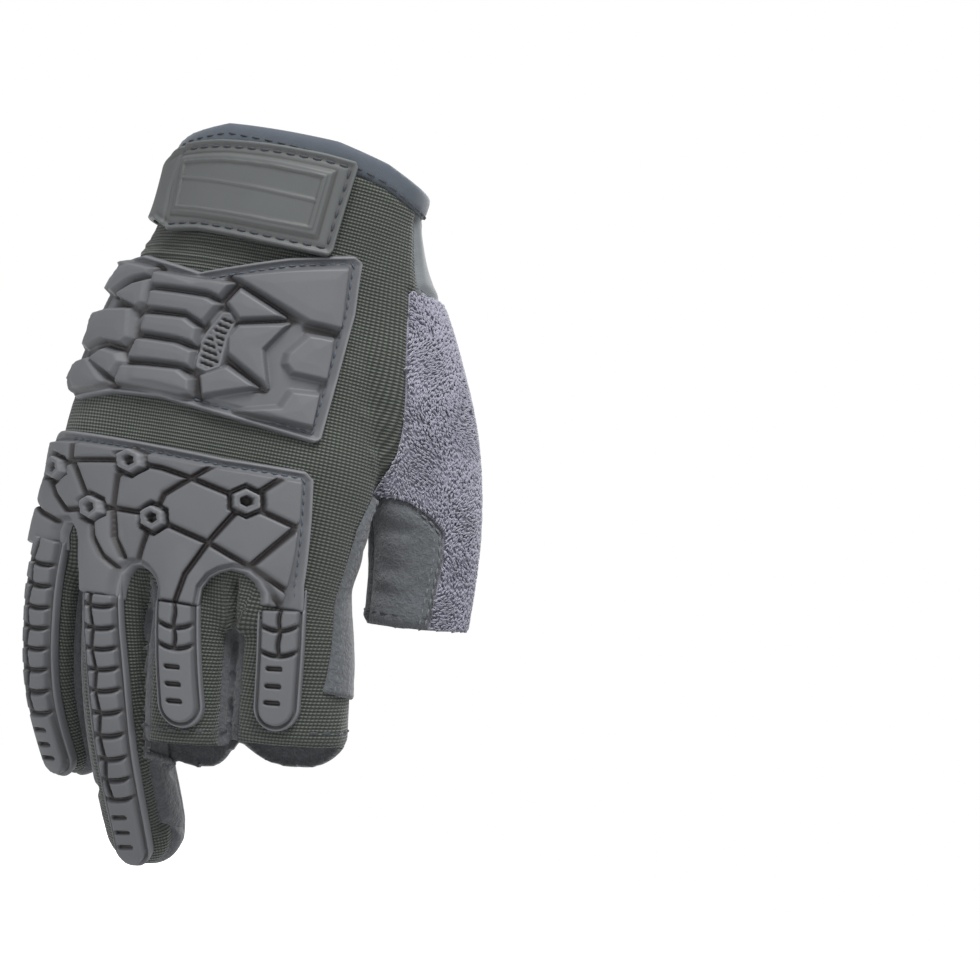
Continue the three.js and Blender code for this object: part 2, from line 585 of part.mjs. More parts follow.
// One finger's strip of the knuckle guard: a flange with raised ribs.
function fingerStrip(name) {
  const { from, to, aside, runs } = STRIPS[name];
  const course = {
    tube: TUBES[name],
    aside: (distance) => THREE.MathUtils.mapLinear(distance, from, to, ...aside),
  };
  const lengths = Math.round((to - from) / STRIP.step);
  const flange = overStrip(course, from, to, STRIP.half, STRIP.seat, FLANGE, lengths, [-1, 0, 1]);
  const ribs = runs.flatMap(([first, count, pitch, length]) => Array.from({ length: count }, (_, i) => {
    const start = first + i * pitch;
    const parts = length > STRIP.step ? 2 : 1;
    return overStrip(course, start, start + length, STRIP.rib, FLANGE - ROOT, STRIP.top, parts, [-1, 1]);
  }));
  return join([flange, ...ribs]);
}

// The knuckle guard: a plate with raised cells, hexagonal bosses and four finger strips.
function knuckleGuard() {
  const plate = sheet(KNUCKLE_PLATE, 3, SEAT, FLANGE);
  const cells = Object.values(KNUCKLE_CELLS).map((edges) => block(edges, FLANGE - ROOT, KNUCKLE_TOP));
  const bosses = NUTS.map(boss);
  const strips = Object.keys(STRIPS).map(fingerStrip);
  return join([plate, ...cells, ...bosses, ...strips]).subtract(skin(GAP));
}

// A hexagonal boss with a blind hole.
function boss(nut) {
  const { radius: outer, hole, top, floor } = NUT;
  const rings = [[outer, FLANGE - ROOT], [outer, top], [hole, top], [hole, floor]];
  return loft(rings.map(([radius, lift]) => hexagon(nut, radius).map((p) => onSkin(p, lift))));
}

// A point over the wrist's skin, by its turn from the back, its height and a lift.
function onWrist(degrees, z, lift) {
  const station = stationAt(TUBES.hand, rowAtHeight(TUBES.hand, z));
  const turn = THREE.MathUtils.degToRad(degrees);
  const [c, s] = [Math.sin(turn), -Math.cos(turn)];
  const power = 2 / station.square;
  const across = Math.sign(c) * Math.abs(c) ** power;
  const depth = ((s < 0 ? station.back : station.palm) + lift) * Math.sign(s) * Math.abs(s) ** power;
  return placed(station, (station.half + lift) * across, depth + TUBES.hand.arch * across * across);
}

// The strap, with a raised place for a label on the back.
function wristStrap() {
  const { lift, thickness, label } = STRAP;
  const strap = sheet(STRAP_BAND, 1, lift, lift + thickness, onWrist);
  const plate = sheet(LABEL_PLATE, 1, lift + thickness - ROOT, lift + thickness + label, onWrist);
  return strap.add(plate).subtract(skin(BINDING.proud + GAP));
}

// A pad with rows of six-sided cells raised on it, inside a plain border.
function palmPad(columns) {
  const base = sheet(columns, 3, SEAT, PAD.base, onPalm);
  const [left, right] = [columns[0][0] + PAD.border, columns.at(-1)[0] - PAD.border];
  const highest = Math.max(...columns.map(([, top]) => top));
  const lowest = Math.min(...columns.map(([, , bottom]) => bottom));
  const cells = [];
  for (let row = 0, z = lowest; z < highest; row += 1, z += PAD.pitch * Math.sin(Math.PI / 3)) {
    for (let x = left + (row % 2 ? PAD.pitch / 2 : 0); x < right; x += PAD.pitch) {
      const [top, bottom] = tableAt(columns, x);
      if (z < top - PAD.border && z > bottom + PAD.border) cells.push(padCell(x, z));
    }
  }
  return join([base, ...cells]).subtract(skin(GAP));
}

// One six-sided cell of a pad, standing on the palm.
function padCell(x, z) {
  const ring = (radius, lift) => Array.from({ length: 6 }, (_, i) => {
    const angle = (Math.PI / 3) * (i + 0.5);
    return onPalm(x + radius * Math.cos(angle), z + radius * Math.sin(angle), lift);
  });
  return loft([ring(PAD.cell, PAD.base - ROOT / 2), ring(PAD.cell * PAD.lean, PAD.top)], true);
}

// A point above the palm's skin, seen from the palm side and lifted square to the skin.
function onPalm(x, z, lift) {
  const hit = (dx, dz) => {
    caster.set(new THREE.Vector3(x + dx, REACH, z + dz), new THREE.Vector3(0, -1, 0));
    return caster.intersectObject(skinMesh)[0].point;
  };
  const here = hit(0, 0);
  const inward = x > FAN.x ? -FEEL : FEEL;
  const normal = hit(0, FEEL).sub(here).cross(hit(inward, 0).sub(here)).normalize();
  return here.addScaledVector(normal, normal.y < 0 ? -lift : lift);
}

// A point beside the index finger, found from the space between it and the thumb.
function besideIndex(y, z, lift) {
  const { besideThumb, belowThumb } = SIDE_STRIP_START;
  const start = z > THUMB_END ? besideThumb : belowThumb;
  caster.set(new THREE.Vector3(start, y, z), new THREE.Vector3(-1, 0, 0));
  const { point } = caster.intersectObject(skinMesh)[0];
  return point.setX(point.x + lift);
}

// A solid's surface as a geometry.
function geometryOf(whole) {
  const data = whole.getMesh();
  const geometry = new THREE.BufferGeometry();
  geometry.setAttribute('position', new THREE.BufferAttribute(new Float32Array(data.vertProperties), 3));
  geometry.setIndex(new THREE.BufferAttribute(new Uint32Array(data.triVerts), 1));
  return mergeVertices(geometry, 1e-4);
}

// A mesh with its own material from a solid.
function mesh(name, whole, { color, roughness, metalness = 0 }) {
  const geometry = geometryOf(whole);
  geometry.computeVertexNormals();
  const made = new THREE.Mesh(geometry, new THREE.MeshStandardMaterial({ color, roughness, metalness }));
  made.name = name;
  return made;
}

const KNIT = { color: 0x3e443c, roughness: 0.95 };
const SUEDE = { color: 0x5c6165, roughness: 0.95 };
const TOWEL = { color: 0x8c8c9b, roughness: 1 };
const STRETCH = { color: 0x606c78, roughness: 0.8 };
const RUBBER = { color: 0x717479, roughness: 0.6 };
const PAD_RUBBER = { color: 0x64686a, roughness: 0.35 };
const PANEL_FINISH = {
  back_panel: KNIT, terry_panel: TOWEL, cuff_binding: STRETCH, wrist_panel: STRETCH,
};

const slitGusset = skin(SLIT_GUSSET.top).subtract(skin(GAP))
  .intersect(slab(SLIT_GUSSET.outline, SLIT_GUSSET.near, SLIT_GUSSET.far));
const knucklePatch = sheet(PATCH, 2, SEAT, PATCH_TOP, onPalm).subtract(skin(GAP));
const sideStrip = sheet(SIDE_STRIP, 6, SEAT, SEAT + SIDE_STRIP_THICKNESS, besideIndex);

const group = new THREE.Group();
group.name = 'tactical_glove';
for (const [name, panel] of Object.entries(clothPanels())) {
  group.add(mesh(name, panel, PANEL_FINISH[name] ?? SUEDE));
}
group.add(mesh('slit_gusset', largest(slitGusset), STRETCH));
group.add(mesh('wrist_strap', largest(wristStrap()), RUBBER));
group.add(mesh('metacarpal_guard', largest(metacarpalGuard()), RUBBER));
group.add(mesh('knuckle_guard', largest(knuckleGuard()), RUBBER));
group.add(mesh('index_side_strip', sideStrip, SUEDE));
group.add(mesh('knuckle_patch', largest(knucklePatch), SUEDE));
group.add(mesh('palm_pad_ulnar', largest(palmPad(ULNAR_PAD)), PAD_RUBBER));
group.add(mesh('palm_pad_radial', largest(palmPad(RADIAL_PAD)), PAD_RUBBER));

export default group;
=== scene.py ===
"""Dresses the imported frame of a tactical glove: sewn cloth, moulded guards, pads, strap and stitching.

Sizes are millimetres until a mesh is made. +Z runs up the forearm, the back of the hand faces -Y and
the thumb is on the +X side.
"""
import logging
from collections.abc import Callable
from dataclasses import dataclass, field
from enum import Enum
from math import cos, radians, sin
from typing import Protocol

import bpy
import numpy as np
from bpy.types import Object
from mathutils import Matrix, Vector


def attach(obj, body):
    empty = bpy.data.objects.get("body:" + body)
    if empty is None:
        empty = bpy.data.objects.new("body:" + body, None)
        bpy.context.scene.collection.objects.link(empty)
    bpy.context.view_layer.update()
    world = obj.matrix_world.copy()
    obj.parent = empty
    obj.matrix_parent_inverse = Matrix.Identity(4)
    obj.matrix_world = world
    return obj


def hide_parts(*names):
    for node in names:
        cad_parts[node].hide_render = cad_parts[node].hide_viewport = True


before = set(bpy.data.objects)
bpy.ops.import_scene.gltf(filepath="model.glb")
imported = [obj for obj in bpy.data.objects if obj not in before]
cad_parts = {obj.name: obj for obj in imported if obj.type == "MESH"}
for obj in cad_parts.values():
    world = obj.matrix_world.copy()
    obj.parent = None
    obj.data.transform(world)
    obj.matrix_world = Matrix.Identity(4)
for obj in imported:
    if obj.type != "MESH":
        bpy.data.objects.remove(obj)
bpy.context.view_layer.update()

LOG = logging.getLogger("glove")
Array = np.ndarray

# A moulding's depth inside its outline, its lift and its tone
Relief = tuple[Array, Array, Array]

# Metres in a millimetre, and the upright axis that the back of the hand curves round
MM = 0.001
FAN = np.array([-4.0, 12.0])

# The wrist's rim and the seam below the wrist panel, as x and z
RIM = ((-60, -9), (-44, -4), (-33, 0.5), (-20, 4), (0, 4), (15, 3.8), (30, 1), (44, -4.5), (60, -14.5))
WRIST_SEAM = ((-80, -26), (25, -26), (48, -33), (90, -33))

# The towelling's edge, as distance along the thumb and place across it
TERRY_EDGE = ((22, 14.5), (30, 8.2), (40, 1.2), (50, -4.5), (62, -10), (74, -15), (80, -18), (86, -20),
              (89, -14), (95, -7), (99, -3.5), (107, -3), (118, -4), (140, -5.5))

# A side wall's two fingers, how far it reaches towards the back on each, and its lowest z
SIDE_WALLS = (("pinky", "ring", 6, 8, -199), ("ring", "middle", 7, 8.2, -205),
              ("middle", "index", 7.3, 7.4, -186))

# The binding's height, a moulding's underside tone, darker as painted shade, and how far its edge stands above
# that
BINDING_HEIGHT = 6.0
UNDERSIDE_SHADE_TONE = 0.3
EDGE_STEP = 0.35

# Rows of stitches: a longer step than this is a gap, and a run of this many points or fewer is left out
ROW_GAP = 3.0
SHORT_ROW = 8


# Small helpers on whole arrays

def unit(vectors: Array) -> Array:
    """The vectors divided by their lengths."""
    return vectors / np.maximum(np.linalg.norm(vectors, axis=-1, keepdims=True), 1e-9)


def ease(share: Array) -> Array:
    """A smooth step from 0 to 1: three times the square less twice the cube of the clamped share."""
    share = np.clip(share, 0, 1)
    return share * share * (3 - 2 * share)


def quarter_round(share: Array) -> Array:
    """A quarter circle from 0 to 1: the root of one less the square of one less the clamped share."""
    return np.sqrt(1 - (1 - np.clip(share, 0, 1)) ** 2)


def ridge(distance: Array, width: float) -> Array:
    """A bell-shaped ridge: e to the minus squared distance over width."""
    return np.exp(-((distance / width) ** 2))


def along_table(table: tuple, place: Array) -> Array:
    """The second column of a table at places in its first, on straight lines."""
    columns = np.array(table, float)
    return np.interp(place, columns[:, 0], columns[:, 1])


def soft_noise(points: Array, size: float, seed: int) -> Array:
    """Random values on a lattice of the given size, eased between its eight corners, from -1 to 1.

    Args:
        points: places, one a row.
        size: lattice spacing.
        seed: which pattern.

    Returns:
        One value a point.
    """
    cell = np.floor(points / size).astype(np.int64)
    share = ease(points / size - cell)
    total = np.zeros(len(points))
    for corner in np.ndindex(2, 2, 2):
        i, j, k = (cell + corner).T
        mixed = (i * 73856093) ^ (j * 19349663) ^ (k * 83492791) ^ (seed * 2654435761)
        mixed = ((mixed & 0xFFFFFF) * 1103515245 + 12345) >> 9 & 0xFFFF
        weight = np.prod(np.where(np.array(corner) == 1, share, 1 - share), axis=1)
        total += (mixed / 32767.5 - 1) * weight
    return total


def nearest_distance(points: Array, marks: Array) -> Array:
    """Distance from each point to the closest mark, in blocks of rows to spare memory."""
    marks = marks.astype(np.float32)
    squared = (marks ** 2).sum(1)
    blocks = np.array_split(points.astype(np.float32), max(1, len(points) // 2000))
    nearest = [(squared - 2 * block @ marks.T).min(1) + (block ** 2).sum(1) for block in blocks]
    return np.sqrt(np.maximum(np.concatenate(nearest), 0))


def clip(data: Array, faces: Array, value: Array) -> tuple[Array, Array]:
    """Keeps the part of a triangle mesh where a value is above zero, cut along the zero line.

    Every column of the point data is carried to the new points by linear interpolation.

    Args:
        data: one row a point, any columns.
        faces: triangles as rows of three point numbers.
        value: one number a point.

    Returns:
        The data and triangles of the part kept.
    """
    value = np.where(np.abs(value) < 1e-5, 1e-5, value)
    inside = value > 0
    count = inside[faces].sum(1)

    def turned(chosen: Array, lone: Array) -> Array:
        """The chosen triangles, each with its lone corner first."""
        first = lone[chosen].argmax(1)
        return np.take_along_axis(chosen, (first[:, None] + np.arange(3)) % 3, 1)

    one, two = turned(faces[count == 1], inside), turned(faces[count == 2], ~inside)
    lone = np.concatenate([one, two])
    edges = np.concatenate([lone[:, [0, 1]], lone[:, [0, 2]]])
    pairs, numbers = np.unique(np.sort(edges, 1), axis=0, return_inverse=True)
    a, b = pairs.T
    share = (value[a] / (value[a] - value[b]))[:, None]
    numbers = numbers.ravel() + len(data)
    next_cut, last_cut = np.split(numbers, 2)
    n = len(one)
    parts = [
        faces[count == 3],
        np.stack([one[:, 0], next_cut[:n], last_cut[:n]], 1),
        np.stack([next_cut[n:], two[:, 1], two[:, 2]], 1),
        np.stack([next_cut[n:], two[:, 2], last_cut[n:]], 1),
    ]
    kept = np.concatenate(parts)
    data = np.concatenate([data, data[a] * (1 - share) + data[b] * share])
    used, renumbered = np.unique(kept, return_inverse=True)
    return data[used], renumbered.reshape(-1, 3)


def border_edges(faces: Array) -> Array:
    """Edges with a triangle on one side only, in the direction that it runs them."""
    edges = np.concatenate([faces[:, [0, 1]], faces[:, [1, 2]], faces[:, [2, 0]]])
    _, number, times = np.unique(np.sort(edges, 1), axis=0, return_inverse=True, return_counts=True)
    return edges[times[number.ravel()] == 1]


def catmull_rom(a: Array, b: Array, c: Array, d: Array, share: Array) -> Array:
    """The smooth cubic through four points in a row, at a share of the way from the second to the third."""
    return b + 0.5 * share * (c - a + share * (2 * a - 5 * b + 4 * c - d + share * (3 * (b - c) + d - a)))


def piece_distance(a: Array, b: Array, start: Array, end: Array) -> Array:
    """Distance from places to a straight piece: to the nearest point between its two ends.

    Args:
        a: first coordinate of each place.
        b: second coordinate.
        start: the piece's first end.
        end: its other end.

    Returns:
        One distance a place.
    """
    (x, y), (dx, dy) = start, end - start
    share = np.clip(((a - x) * dx + (b - y) * dy) / (dx * dx + dy * dy + 1e-12), 0, 1)
    return np.hypot(a - x - share * dx, b - y - share * dy)


def walked_along(path: Array) -> Array:
    """How far each point of a path lies from its start: the running sum of its steps."""
    return np.concatenate([[0], np.cumsum(np.linalg.norm(np.diff(path, axis=0), axis=1))])


def read_at(rows: Array, walked: Array, places: Array) -> Array:
    """Rows at other distances along their path, on straight lines."""
    return np.stack([np.interp(places, walked, column) for column in rows.T], 1)


def grid_places(first: Array, second: Array) -> tuple[Array, Array]:
    """Every pair of a first and a second value as two flat arrays, row by row."""
    a, b = np.meshgrid(first, second, indexing="ij")
    return a.ravel(), b.ravel()


def halved(a: Array, b: Array, c: Array, d: Array) -> Array:
    """Four-cornered faces as two triangles each, cut from the first corner to the third."""
    return np.concatenate([np.stack([a, b, c], 1), np.stack([a, c, d], 1)])


def ring_faces(rings: int, sides: int) -> Array:
    """Triangles between closed rings whose points are numbered ring by ring."""
    i, j = grid_places(np.arange(rings - 1), np.arange(sides))
    a, b = i * sides + j, i * sides + (j + 1) % sides
    return halved(a, b, b + sides, a + sides)


def facing_out(points: Array, faces: Array) -> Array:
    """A closed mesh's triangles, turned round unless its volume, a sum of triple products, is above zero."""
    corner = points[faces]
    return faces if (corner[:, 0] * np.cross(corner[:, 1], corner[:, 2])).sum() > 0 else faces[:, ::-1]


def copied(one: Array, count: int) -> Array:
    """A small mesh's triangles for each of its copies, whose points follow one another."""
    return (one[None] + (np.arange(count) * (one.max() + 1))[:, None, None]).reshape(-1, 3)


def as_is(a: Array) -> Array:
    """Flat millimetres where a place already counts in them."""
    return a


def grid_faces(rows: int, columns: int) -> Array:
    """Triangles of a grid whose points are numbered row by row."""
    i, j = grid_places(np.arange(rows - 1), np.arange(columns - 1))
    a = i * columns + j
    return halved(a, a + 1, a + columns + 1, a + columns)


# Meshes and their objects

@dataclass
class Piece:
    """A mesh in millimetres with the values its finish reads, which becomes one Blender object."""

    name: str
    points: Array
    faces: Array
    uv: Array | None = None
    tone: Array | None = None

    def build(self) -> Object:
        """Makes the object, smooth shaded, with its UV map and tone attribute."""
        mesh = bpy.data.meshes.new(self.name)
        mesh.vertices.add(len(self.points))
        mesh.vertices.foreach_set("co", (self.points * MM).ravel())
        mesh.loops.add(self.faces.size)
        mesh.loops.foreach_set("vertex_index", self.faces.ravel().astype(np.int32))
        mesh.polygons.add(len(self.faces))
        mesh.polygons.foreach_set("loop_start", np.arange(0, self.faces.size, 3, dtype=np.int32))
        if self.uv is not None:
            layer = mesh.uv_layers.new(name="cloth")
            layer.data.foreach_set("uv", self.uv[self.faces.ravel()].ravel().astype(np.float32))
        if self.tone is not None:
            tones = mesh.attributes.new("tone", "FLOAT", "POINT")
            tones.data.foreach_set("value", self.tone.astype(np.float32))
        mesh.update(calc_edges=True)
        mesh.shade_smooth()
        return add_object(self.name, mesh)


def add_object(name: str, data: bpy.types.ID) -> Object:
    """A new object in the scene for a mesh, a light or a camera."""
    made = bpy.data.objects.new(name, data)
    bpy.context.collection.objects.link(made)
    return made


def thicken(made: Object, wall: float) -> None:
    """Welds the slivers that a cut leaves and gives a cloth piece its wall, inwards."""
    weld = made.modifiers.new("weld", "WELD")
    weld.merge_threshold = 0.12 * MM
    wall_maker = made.modifiers.new("wall", "SOLIDIFY")
    wall_maker.thickness = wall * MM
    wall_maker.offset = -1


def place_piece(made: Object, look: "Look", slot: str, *nodes: str) -> Object:
    """Gives a piece its finish and its body, and the CAD nodes that it stands for."""
    made.data.materials.append(look.value.material())
    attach(made, "root")
    if nodes:
        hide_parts(*nodes)
    faces = len(made.data.polygons)
    LOG.info("%s: %d faces%s", made.name, faces, f", for {', '.join(nodes)}" if nodes else "")
    return made


# Materials

class Wire:
    """A number on its way through a material: each operator adds the Math node that works it out."""

    def __init__(self, paint: "Paint", socket: bpy.types.NodeSocket) -> None:
        """Wraps a node's output."""
        self.paint, self.socket = paint, socket

    def __add__(self, other: "Wire | float") -> "Wire":
        """Sum."""
        return self.paint.math("ADD", self, other)

    def __sub__(self, other: "Wire | float") -> "Wire":
        """Difference."""
        return self.paint.math("SUBTRACT", self, other)

    def __rsub__(self, other: float) -> "Wire":
        """Difference from a number."""
        return self.paint.math("SUBTRACT", other, self)

    def __mul__(self, other: "Wire | float") -> "Wire":
        """Product."""
        return self.paint.math("MULTIPLY", self, other)

    __radd__ = __add__
    __rmul__ = __mul__


class Paint:
    """A new material's node tree, with its Principled shader."""

    def __init__(self, name: str) -> None:
        """Starts a material with one shader."""
        self.material = bpy.data.materials.new(name)
        self.material.use_nodes = True
        self.tree = self.material.node_tree
        self.shader = self.tree.nodes["Principled BSDF"]

    def node(self, kind: str, settings: dict | None = None, inputs: dict | None = None) -> bpy.types.Node:
        """Adds a node: its settings first, then the values or wires of its sockets.

        Args:
            kind: Blender's name of the node's type.
            settings: attribute names and values.
            inputs: socket names or numbers, with values or wires.

        Returns:
            The node.
        """
        made = self.tree.nodes.new(kind)
        for name, value in (settings or {}).items():
            setattr(made, name, value)
        for name, value in (inputs or {}).items():
            self.feed(made.inputs[name], value)
        return made

    def feed(self, socket: bpy.types.NodeSocket, value: object) -> None:
        """Links a wire to a socket, or sets its value."""
        if isinstance(value, Wire):
            self.tree.links.new(value.socket, socket)
        else:
            socket.default_value = value

    def math(self, operation: str, *values: "Wire | float") -> Wire:
        """A Math node on wires and numbers."""
        made = self.node("ShaderNodeMath", {"operation": operation}, dict(enumerate(values)))
        return Wire(self, made.outputs[0])

    def eased(self, value: Wire, low: float, high: float) -> Wire:
        """The value's place between two bounds as a smooth step from 0 to 1."""
        made = self.node("ShaderNodeMapRange", {"interpolation_type": "SMOOTHSTEP"},
                         {"Value": value, "From Min": low, "From Max": high})
        return Wire(self, made.outputs["Result"])

    def mix(self, share: Wire, low: "Wire | tuple", high: "Wire | tuple") -> Wire:
        """A colour between two colours."""
        made = self.node("ShaderNodeMix", {"data_type": "RGBA"}, {0: share, 6: low, 7: high})
        return Wire(self, made.outputs[2])

    def place(self) -> Wire:
        """Object coordinates, in metres."""
        return Wire(self, self.node("ShaderNodeTexCoord").outputs["Object"])

    def noise(self, scale: float, detail: float = 2) -> Wire:
        """A noise texture's value, with its scale per metre."""
        made = self.node("ShaderNodeTexNoise", None,
                         {"Vector": self.place(), "Scale": scale, "Detail": detail})
        return Wire(self, made.outputs["Fac"])

    def attribute(self, name: str) -> Wire:
        """A value stored on the mesh's points."""
        return Wire(self, self.node("ShaderNodeAttribute", {"attribute_name": name}).outputs["Fac"])

    def uv(self) -> tuple[Wire, Wire]:
        """The two numbers of the cloth's UV map, in centimetres."""
        found = self.node("ShaderNodeUVMap", {"uv_map": "cloth"})
        parts = self.node("ShaderNodeSeparateXYZ", None, {0: Wire(self, found.outputs[0])})
        return Wire(self, parts.outputs[0]), Wire(self, parts.outputs[1])

    def bump(self, height: Wire, depth: float) -> Wire:
        """A Bump node's normal, for heights times a depth in millimetres."""
        made = self.node("ShaderNodeBump", None, {"Height": height, "Distance": depth * MM, "Strength": 1.0})
        return Wire(self, made.outputs["Normal"])

    def finish(self, **sockets: object) -> bpy.types.Material:
        """Feeds the shader's sockets, named with low lines for spaces.

        Args:
            sockets: values or wires by socket name, such as Base_Color.

        Returns:
            The material.
        """
        for name, value in sockets.items():
            self.feed(self.shader.inputs[name.replace("_", " ")], value)
        return self.material


def shade(colour: tuple, factor: float) -> tuple:
    """A colour made lighter or darker, with full alpha."""
    return (*[min(1.0, channel * factor) for channel in colour[:3]], 1.0)


@dataclass(frozen=True)
class Finish:
    """A surface of one colour and roughness; each kind of cloth or rubber has its own nodes."""

    name: str
    colour: tuple
    roughness: float = 0.9

    def material(self) -> bpy.types.Material:
        """The finish's material, made once."""
        return bpy.data.materials.get(self.name) or self.make(Paint(self.name))

    def make(self, paint: Paint) -> bpy.types.Material:
        """Faint mottling over the plain colour."""
        spots = paint.noise(260, 3)
        return paint.finish(Base_Color=paint.mix(spots, shade(self.colour, 0.85), shade(self.colour, 1.15)),
                            Roughness=self.roughness)


@dataclass(frozen=True)
class Knit(Finish):
    """Ribbed stretch knit: rows of small pale dots in dark gaps, on the cloth's own UV map."""

    row: float = 1.0
    stitch: float = 1.05

    def make(self, paint: Paint) -> bpy.types.Material:
        """Dots are the product of two waves, and thin rib lines run between the rows."""
        across, up = paint.uv()
        wobble = paint.noise(90, 2) * 0.3
        turns = 2 * np.pi * 10
        row = paint.math("SINE", up * (turns / self.row) + wobble)
        column = paint.math("SINE", across * (turns / self.stitch) + row * 0.9 + wobble)
        dots = paint.eased(row * 0.72 + column * 0.42, -0.3, 0.95)
        height = row * 0.8 + column * 0.3
        fibre = paint.noise(2600, 2)
        worn = paint.eased(paint.noise(34, 3), 0.3, 0.75)
        tint = paint.mix(dots * (0.75 + worn * 0.25), shade(self.colour, 0.2), shade(self.colour, 2.5))
        tint = paint.mix(fibre * 0.25, tint, shade(self.colour, 0.7))
        return paint.finish(Base_Color=tint, Roughness=self.roughness, Sheen_Weight=0.25, Sheen_Roughness=0.5,
                            Normal=paint.bump(height + fibre * 0.5, 0.16))


@dataclass(frozen=True)
class Suede(Finish):
    """Brushed synthetic suede: short fibres as fine pale and dark specks over a soft cloudiness."""

    speck: float = 0.5

    def make(self, paint: Paint) -> bpy.types.Material:
        """Two sizes of specks and one of clouds mix the colour; the specks raise the surface a little."""
        fine = paint.eased(paint.noise(1500, 3), 0.36, 0.66)
        coarse = paint.eased(paint.noise(620, 2), 0.38, 0.64)
        cloud = paint.noise(48, 3)
        specks = fine * 0.6 + coarse * 0.4
        share = specks * self.speck + cloud * (1 - self.speck)
        tint = paint.mix(share, shade(self.colour, 0.62), shade(self.colour, 1.38))
        return paint.finish(Base_Color=tint, Roughness=self.roughness, Sheen_Weight=0.3, Sheen_Roughness=0.6,
                            Normal=paint.bump(fine * 0.6 + coarse, 0.13))


@dataclass(frozen=True)
class Towel(Finish):
    """Towelling: pale loops over a slightly darker ground."""

    def make(self, paint: Paint) -> bpy.types.Material:
        """Fine fibres and slow clouds of colour."""
        fibre = paint.noise(2400, 2)
        cloud = paint.noise(120, 3)
        tint = paint.mix(fibre * 0.5 + cloud * 0.5, shade(self.colour, 0.72), shade(self.colour, 1.3))
        return paint.finish(Base_Color=tint, Roughness=1.0, Sheen_Weight=0.5, Sheen_Roughness=0.5,
                            Normal=paint.bump(fibre, 0.1))


@dataclass(frozen=True)
class Stretch(Finish):
    """Smooth stretch cloth with a fine weave."""

    def make(self, paint: Paint) -> bpy.types.Material:
        """A weave of two crossed fine waves, up the wrist and round it, with faint clouds."""
        parts = paint.node("ShaderNodeSeparateXYZ", None, {0: paint.place()})
        x, y, z = (Wire(paint, output) for output in parts.outputs)
        waves = paint.math("SINE", z * 9000) * paint.math("SINE", paint.math("ARCTAN2", x, y) * 330)
        cloud = paint.noise(150, 3)
        tint = paint.mix(cloud * 0.7 + waves * 0.15 + 0.15, shade(self.colour, 0.78), shade(self.colour, 1.2))
        return paint.finish(Base_Color=tint, Roughness=self.roughness, Sheen_Weight=0.2,
                            Normal=paint.bump(waves, 0.03))


@dataclass(frozen=True)
class Rubber(Finish):
    """Moulded rubber: dusty grooves with painted shade, painted edge highlights and a fine mould grain."""

    # How dark the grooves are painted: dusty, with painted shade
    groove: float = 0.13
    # How much paler the edges are painted: a painted highlight
    edge: float = 1.55
    grain: float = 0.035

    def make(self, paint: Paint) -> bpy.types.Material:
        """The stored tone goes from 0 in dusty grooves with painted shade to 1 on painted edge highlights."""
        tone = paint.attribute("tone")
        cloud = paint.noise(70, 4)
        plain = paint.mix(cloud, shade(self.colour, 0.92), shade(self.colour, 1.1))
        red, green, blue = self.colour
        # Brownish groove colour: dusty, and darker as painted shade
        dust_and_shade = (red * self.groove * 1.25, green * self.groove, blue * self.groove, 1)
        tint = paint.mix(paint.eased(tone, 0.0, 0.5), dust_and_shade, plain)
        # Edges mixed towards a paler colour as painted highlights
        tint = paint.mix(paint.eased(tone + cloud * 0.1, 0.55, 1.05), tint, shade(self.colour, self.edge))
        grain = paint.noise(3200, 2)
        rough = cloud * 0.16 + (self.roughness - 0.08)
        return paint.finish(Base_Color=tint, Roughness=rough, Specular_IOR_Level=0.42,
                            Normal=paint.bump(grain, self.grain))


class Look(Enum):
    """The glove's finishes."""

    KNIT = Knit("olive_knit", (0.066, 0.074, 0.063), 0.95)
    SUEDE = Suede("grey_suede", (0.085, 0.092, 0.101), 0.95)
    TOWEL = Towel("pile_loops", (0.305, 0.304, 0.374), 1.0)
    TOWEL_GROUND = Towel("pile_ground", (0.27, 0.268, 0.335), 1.0)
    BINDING = Stretch("binding_cloth", (0.068, 0.083, 0.104), 0.75)
    SIDE = Stretch("side_cloth", (0.16, 0.175, 0.185), 0.8)
    THREAD = Finish("thread", (0.05, 0.055, 0.065), 0.8)
    GUARD_THREAD = Finish("guard_thread", (0.085, 0.105, 0.135), 0.8)
    PALE_THREAD = Finish("pale_thread", (0.13, 0.14, 0.155), 0.8)
    GUARD = Rubber("guard_moulding", (0.119, 0.1225, 0.131), 0.55)
    STRAP = Rubber("strap_moulding", (0.091, 0.0965, 0.0965), 0.55, groove=0.35, edge=1.35)
    PAD = Rubber("pad_moulding", (0.11, 0.119, 0.124), 0.24, groove=0.55, edge=1.22, grain=0.01)


# The cloth form: tubes joined into one skin

